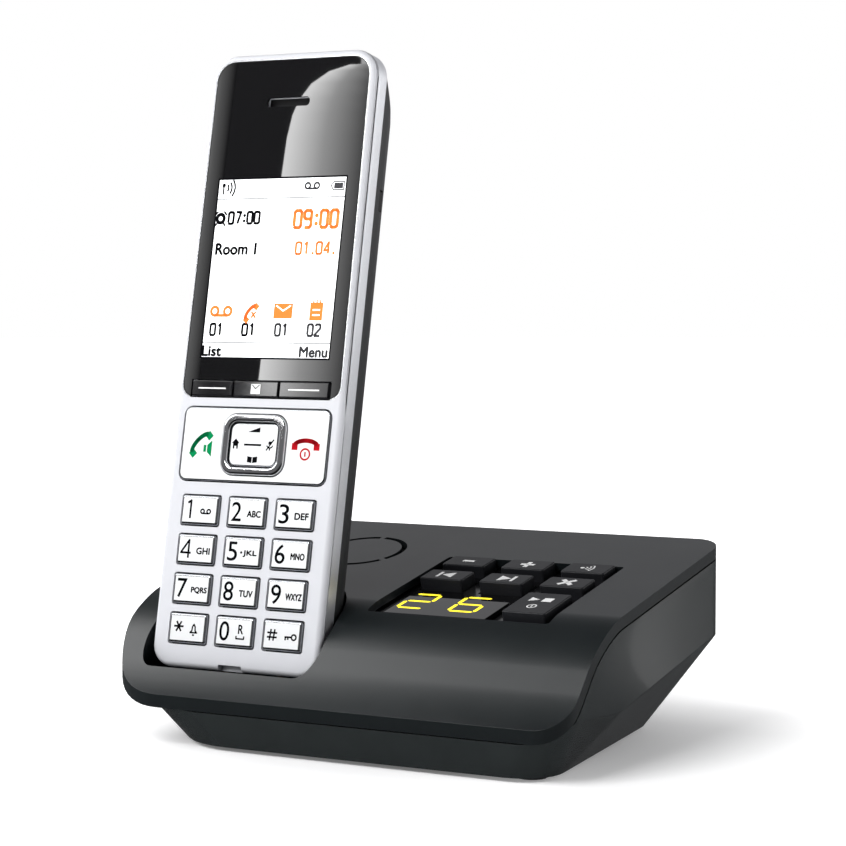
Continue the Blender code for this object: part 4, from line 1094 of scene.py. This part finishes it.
CARRIED = {
    "foot_front_left": "rubber", "foot_front_right": "rubber", "foot_rear_left": "rubber",
    "foot_rear_right": "rubber", "housing_screw_left": "steel", "housing_screw_right": "steel",
    "line_socket": "socket_black", "power_socket": "socket_black", "headset_socket": "socket_black",
    "loudspeaker": "speaker_paper", "display_module": "module_grey", "base_circuit_board": "board_green",
    "handset_circuit_board": "board_green", "key_mat": "mat_silicone", "lcd_module": "module_grey",
    "battery_left": "cell_wrap", "battery_right": "cell_wrap", "earpiece": "speaker_paper",
    "microphone": "module_grey", "ringer": "buzzer_black", "charging_pad_left": "contact_gold",
    "charging_pad_right": "contact_gold", "charging_contact_left": "contact_gold",
    "charging_contact_right": "contact_gold",
}


# --- Studio ---
CAMERA_PLACE = Vector((0.3227, -0.5500, 0.11155))
CAMERA_TURN = (radians(90 - 2.89), 0, radians(30.13))
CAMERA_LENS = 107.48
# brightness of the air in reflections, from straight below (0) to straight above (1)
AIR_LEVELS = ((0.30, 0.05), (0.47, 0.12), (0.50, 0.30), (0.64, 0.58), (0.71, 0.56), (0.78, 0.27),
              (0.85, 0.08))
# name, place, point it faces, size, power
SOFTBOXES = (
    ("front_softbox", (-0.35, -1.10, 1.15), (0, 0, 0.08), (0.9, 0.9), 20),
    ("right_softbox", (0.95, 0.80, 0.35), (-0.02, 0, 0.12), (0.5, 0.6), 4.0),
    ("left_softbox", (-1.0, -0.30, 0.80), (0, 0, 0.08), (0.7, 0.9), 8.5),
)
# the cards' edges, in millimetres on the lens and on the base's right side
LENS_EDGE = ((17.0, 154.5), (11.0, 153.0), (6.0, 150.0), (2.8, 146.0), (1.2, 142.0), (0.2, 136.0),
             (-0.3, 125.0), (-0.6, 95.0), (-0.9, 66.0))
SIDE_EDGE = ((38.0, 44.2), (35.4, 43.6), (17.8, 41.0), (8.0, 39.4), (0.4, 37.2), (-5.5, 35.0),
             (-9.6, 31.8), (-10.7, 27.6), (-8.5, 23.6), (-5.0, 20.2), (2.0, 16.0), (12.0, 12.0))


def area_light(name, place, target, size, power):
    light = bpy.data.lights.new(name, "AREA")
    light.shape = "RECTANGLE"
    light.size, light.size_y = size
    light.energy = power
    made = bpy.data.objects.new(name, light)
    made.location = place
    made.rotation_euler = (Vector(target) - Vector(place)).to_track_quat("-Z", "Y").to_euler()
    bpy.context.scene.collection.objects.link(made)
    return made


def stage_material(name, colour, glow=0.0):
    material = bpy.data.materials.new(name)
    material.use_nodes = True
    shader = material.node_tree.nodes["Principled BSDF"]
    shader.inputs["Base Color"].default_value = (*colour, 1)
    shader.inputs["Roughness"].default_value = 0.9
    shader.inputs["Specular IOR Level"].default_value = 0.1
    shader.inputs["Emission Color"].default_value = (1, 1, 1, 1)
    shader.inputs["Emission Strength"].default_value = glow
    return material


def stage_mesh(name, shape, material):
    mesh = bpy.data.meshes.new(name)
    shape.to_mesh(mesh)
    shape.free()
    made = bpy.data.objects.new(name, mesh)
    bpy.context.scene.collection.objects.link(made)
    mesh.materials.append(material)
    return made


def reflector(name, plane, edge, far, levels, strength, reach=1.75):
    """A lit card that a flat glossy side mirrors to the front right. Its edge is given by the
    points of that plane, in millimetres, where it shows, and far is where it ends across."""
    normal = (plane.to_3x3() @ Vector((0, 0, 1))).normalized()
    mirrored = CAMERA_PLACE - 2 * (CAMERA_PLACE - plane.translation).dot(normal) * normal
    shape = bmesh.new()
    layer = shape.loops.layers.uv.new("across")
    grid = []
    for x, y in edge:
        row = [mirrored + reach * (plane @ Vector((u / 1000, y / 1000, 0)) - mirrored)
               for u in (x, (x + far) / 2, far)]
        grid.append([shape.verts.new(point) for point in row])
    for upper, lower in zip(grid, grid[1:]):
        for n in range(2):
            face = shape.faces.new((upper[n], upper[n + 1], lower[n + 1], lower[n]))
            for loop, u in zip(face.loops, (n, n + 1, n + 1, n)):
                loop[layer].uv = (u / 2, 0.0)
    material = stage_material(f"{name}_light", (0.0, 0.0, 0.0))
    nodes, links = material.node_tree.nodes, material.node_tree.links
    across = nodes.new("ShaderNodeUVMap")
    across.uv_map = "across"
    split = nodes.new("ShaderNodeSeparateXYZ")
    ramp = nodes.new("ShaderNodeValToRGB")
    for element, (position, level) in zip(ramp.color_ramp.elements, (levels[0], levels[-1])):
        element.position, element.color = position, (level, level, level, 1)
    for position, level in levels[1:-1]:
        ramp.color_ramp.elements.new(position).color = (level, level, level, 1)
    links.new(across.outputs["UV"], split.inputs["Vector"])
    links.new(split.outputs["X"], ramp.inputs["Fac"])
    shader = nodes["Principled BSDF"]
    links.new(ramp.outputs["Color"], shader.inputs["Emission Color"])
    shader.inputs["Emission Strength"].default_value = strength
    card = stage_mesh(name, shape, material)
    card.visible_camera = False
    card.visible_diffuse = False
    card.visible_shadow = False


def world():
    """White behind everything; for reflections, light low down and at the rear, dark overhead."""
    scene = bpy.context.scene
    scene.world = bpy.data.worlds.new("studio_air")
    scene.world.use_nodes = True
    nodes, links = scene.world.node_tree.nodes, scene.world.node_tree.links
    nodes.clear()
    place = nodes.new("ShaderNodeTexCoord")
    split = nodes.new("ShaderNodeSeparateXYZ")
    level = nodes.new("ShaderNodeMapRange")
    level.inputs["From Min"].default_value = -1.0
    height = nodes.new("ShaderNodeValToRGB")
    ramp = height.color_ramp
    ramp.elements[0].position, ramp.elements[0].color = 0.0, (0.015, 0.015, 0.015, 1)
    ramp.elements[1].position, ramp.elements[1].color = 1.0, (0.02, 0.02, 0.02, 1)
    for position, tone in AIR_LEVELS:
        ramp.elements.new(position).color = (tone, tone, tone * 1.03, 1)
    front = nodes.new("ShaderNodeMapRange")
    front.inputs["From Min"].default_value = -0.8
    front.inputs["From Max"].default_value = 0.3
    front.inputs["To Min"].default_value = 0.22
    front.inputs["To Max"].default_value = 1.0
    around = nodes.new("ShaderNodeBackground")
    seen = nodes.new("ShaderNodeBackground")
    seen.inputs["Color"].default_value = (1, 1, 1, 1)
    path = nodes.new("ShaderNodeLightPath")
    mix = nodes.new("ShaderNodeMixShader")
    out = nodes.new("ShaderNodeOutputWorld")
    links.new(place.outputs["Generated"], split.inputs["Vector"])
    links.new(split.outputs["Z"], level.inputs["Value"])
    links.new(level.outputs["Result"], height.inputs["Fac"])
    links.new(split.outputs["Y"], front.inputs["Value"])
    links.new(height.outputs["Color"], around.inputs["Color"])
    links.new(front.outputs["Result"], around.inputs["Strength"])
    links.new(path.outputs["Is Camera Ray"], mix.inputs["Fac"])
    links.new(around.outputs["Background"], mix.inputs[1])
    links.new(seen.outputs["Background"], mix.inputs[2])
    links.new(mix.outputs["Shader"], out.inputs["Surface"])


def floor_material():
    """White paper that glows more the further it is from the object, so that it has no horizon."""
    material = stage_material("floor_paper", (0.93, 0.93, 0.935))
    nodes, links = material.node_tree.nodes, material.node_tree.links
    place = nodes.new("ShaderNodeTexCoord")
    length = nodes.new("ShaderNodeVectorMath")
    length.operation = "LENGTH"
    glow = nodes.new("ShaderNodeMapRange")
    glow.inputs["From Min"].default_value = 0.05
    glow.inputs["From Max"].default_value = 0.17
    glow.inputs["To Min"].default_value = 0.15
    glow.inputs["To Max"].default_value = 1.0
    links.new(place.outputs["Object"], length.inputs[0])
    links.new(length.outputs["Value"], glow.inputs["Value"])
    links.new(glow.outputs["Result"], nodes["Principled BSDF"].inputs["Emission Strength"])
    return material


def build_studio():
    floor = bmesh.new()
    bmesh.ops.create_circle(floor, cap_ends=True, radius=6.0, segments=96)
    paper = stage_mesh("studio_floor", floor, floor_material())
    paper.visible_glossy = False
    reflector("reflector_right", FACE, LENS_EDGE, 25.5, ((0.0, 1.0), (0.45, 0.42), (1.0, 0.02)), 15.0)
    reflector("reflector_left", FACE, [(-17.5, 158.0), (-19.0, 66.0)], -26.0, ((0.0, 0.0), (1.0, 1.0)), 3.5)
    side = Matrix.Translation((BASE_HALF[0], 0, 0)) @ SIDE
    reflector("reflector_side", side, SIDE_EDGE, 52.0, ((0.0, 1.3), (0.45, 0.35), (1.0, 0.2)), 0.95, 1.6)
    world()
    for softbox in SOFTBOXES:
        area_light(*softbox)
    camera = bpy.data.cameras.new("camera")
    camera.lens = CAMERA_LENS
    camera.sensor_width = 36.0
    camera.clip_start = 0.01
    camera.dof.use_dof = False
    made = bpy.data.objects.new("camera", camera)
    made.location = CAMERA_PLACE
    made.rotation_euler = CAMERA_TURN
    bpy.context.scene.collection.objects.link(made)
    bpy.context.scene.camera = made
    bpy.context.scene.view_settings.view_transform = "Standard"


# --- Operators ---
class PHONE_OT_studio(bpy.types.Operator):
    """Adds the floor, the lights, the reflectors and the camera"""

    bl_idname = "phone.studio"
    bl_label = "Studio"

    def execute(self, context):
        build_studio()
        return {"FINISHED"}


class PHONE_OT_lid(bpy.types.Operator):
    """Adds the base's lid with the handset's well, the keypad's recess and the sound slit"""

    bl_idname = "phone.lid"
    bl_label = "Lid"

    def execute(self, context):
        build_lid(context.scene.phone_sizes)
        return {"FINISHED"}


class PHONE_OT_hull(bpy.types.Operator):
    """Adds the base's tapered lower housing"""

    bl_idname = "phone.hull"
    bl_label = "Hull"

    def execute(self, context):
        build_hull()
        return {"FINISHED"}


class PHONE_OT_keypad_floor(bpy.types.Operator):
    """Adds the floor of the keypad's recess and the counter's window"""

    bl_idname = "phone.keypad_floor"
    bl_label = "Keypad Floor"

    def execute(self, context):
        build_tray()
        return {"FINISHED"}


class PHONE_OT_base_keys(bpy.types.Operator):
    """Adds the seven keys of the answering machine"""

    bl_idname = "phone.base_keys"
    bl_label = "Base Keys"

    def execute(self, context):
        build_base_keys()
        return {"FINISHED"}


class PHONE_OT_face_cover(bpy.types.Operator):
    """Adds the handset's silver face"""

    bl_idname = "phone.face_cover"
    bl_label = "Face Cover"

    def execute(self, context):
        build_cover(context.scene.phone_sizes)
        return {"FINISHED"}


class PHONE_OT_side_band(bpy.types.Operator):
    """Adds the bright band round the handset"""

    bl_idname = "phone.side_band"
    bl_label = "Side Band"

    def execute(self, context):
        build_band(context.scene.phone_sizes)
        return {"FINISHED"}


class PHONE_OT_back(bpy.types.Operator):
    """Adds the handset's back shell and its battery cover"""

    bl_idname = "phone.back"
    bl_label = "Back"

    def execute(self, context):
        build_back()
        return {"FINISHED"}


class PHONE_OT_display(bpy.types.Operator):
    """Adds the glossy lens, the screen and what it shows"""

    bl_idname = "phone.display"
    bl_label = "Display"

    def execute(self, context):
        build_display()
        return {"FINISHED"}


class PHONE_OT_soft_keys(bpy.types.Operator):
    """Adds the three glossy keys under the display"""

    bl_idname = "phone.soft_keys"
    bl_label = "Soft Keys"

    def execute(self, context):
        build_soft_keys()
        return {"FINISHED"}


class PHONE_OT_call_plate(bpy.types.Operator):
    """Adds the plate with the call and end keys"""

    bl_idname = "phone.call_plate"
    bl_label = "Call Plate"

    def execute(self, context):
        build_call_plate()
        return {"FINISHED"}


class PHONE_OT_navigation(bpy.types.Operator):
    """Adds the chrome frame and the navigation cap in it"""

    bl_idname = "phone.navigation"
    bl_label = "Navigation"

    def execute(self, context):
        build_navigation()
        return {"FINISHED"}


class PHONE_OT_dial_keys(bpy.types.Operator):
    """Adds the twelve dial keys"""

    bl_idname = "phone.dial_keys"
    bl_label = "Dial Keys"

    def execute(self, context):
        build_dial_keys(context.scene.phone_sizes)
        return {"FINISHED"}


class PHONE_OT_inner_parts(bpy.types.Operator):
    """Gives the feet, screws, sockets, contacts, boards and cells their finishes"""

    bl_idname = "phone.inner_parts"
    bl_label = "Inner Parts"

    def execute(self, context):
        for node, label in CARRIED.items():
            made = frame["nodes"][node]
            made.data.materials.clear()
            made.data.materials.append(finish(label))
        return {"FINISHED"}


class PHONE_PT_pieces(bpy.types.Panel):
    """The phone's sizes, colours and pieces"""

    bl_idname = "PHONE_PT_pieces"
    bl_label = "Cordless Phone"
    bl_space_type = "VIEW_3D"
    bl_region_type = "UI"
    bl_category = "Phone"

    def draw(self, context):
        for group in (context.scene.phone_sizes, context.scene.phone_colours):
            for name in group.__annotations__:
                self.layout.prop(group, name)
        for operator in OPERATORS:
            self.layout.operator(operator.bl_idname)


OPERATORS = (
    PHONE_OT_studio, PHONE_OT_lid, PHONE_OT_hull, PHONE_OT_keypad_floor, PHONE_OT_base_keys,
    PHONE_OT_face_cover, PHONE_OT_side_band, PHONE_OT_back, PHONE_OT_display, PHONE_OT_soft_keys,
    PHONE_OT_call_plate, PHONE_OT_navigation, PHONE_OT_dial_keys, PHONE_OT_inner_parts,
)
CLASSES = (PhoneSizes, PhoneColours, *OPERATORS, PHONE_PT_pieces)


def register():
    for cls in CLASSES:
        bpy.utils.register_class(cls)
    bpy.types.Scene.phone_sizes = PointerProperty(type=PhoneSizes)
    bpy.types.Scene.phone_colours = PointerProperty(type=PhoneColours)


def unregister():
    del bpy.types.Scene.phone_colours
    del bpy.types.Scene.phone_sizes
    for cls in reversed(CLASSES):
        bpy.utils.unregister_class(cls)


def main():
    register()
    bpy.ops.phone.studio()
    bpy.ops.phone.lid()
    bpy.ops.phone.hull()
    bpy.ops.phone.keypad_floor()
    bpy.ops.phone.base_keys()
    bpy.ops.phone.face_cover()
    bpy.ops.phone.side_band()
    bpy.ops.phone.back()
    bpy.ops.phone.display()
    bpy.ops.phone.soft_keys()
    bpy.ops.phone.call_plate()
    bpy.ops.phone.navigation()
    bpy.ops.phone.dial_keys()
    bpy.ops.phone.inner_parts()


if __name__ == "__main__":
    main()
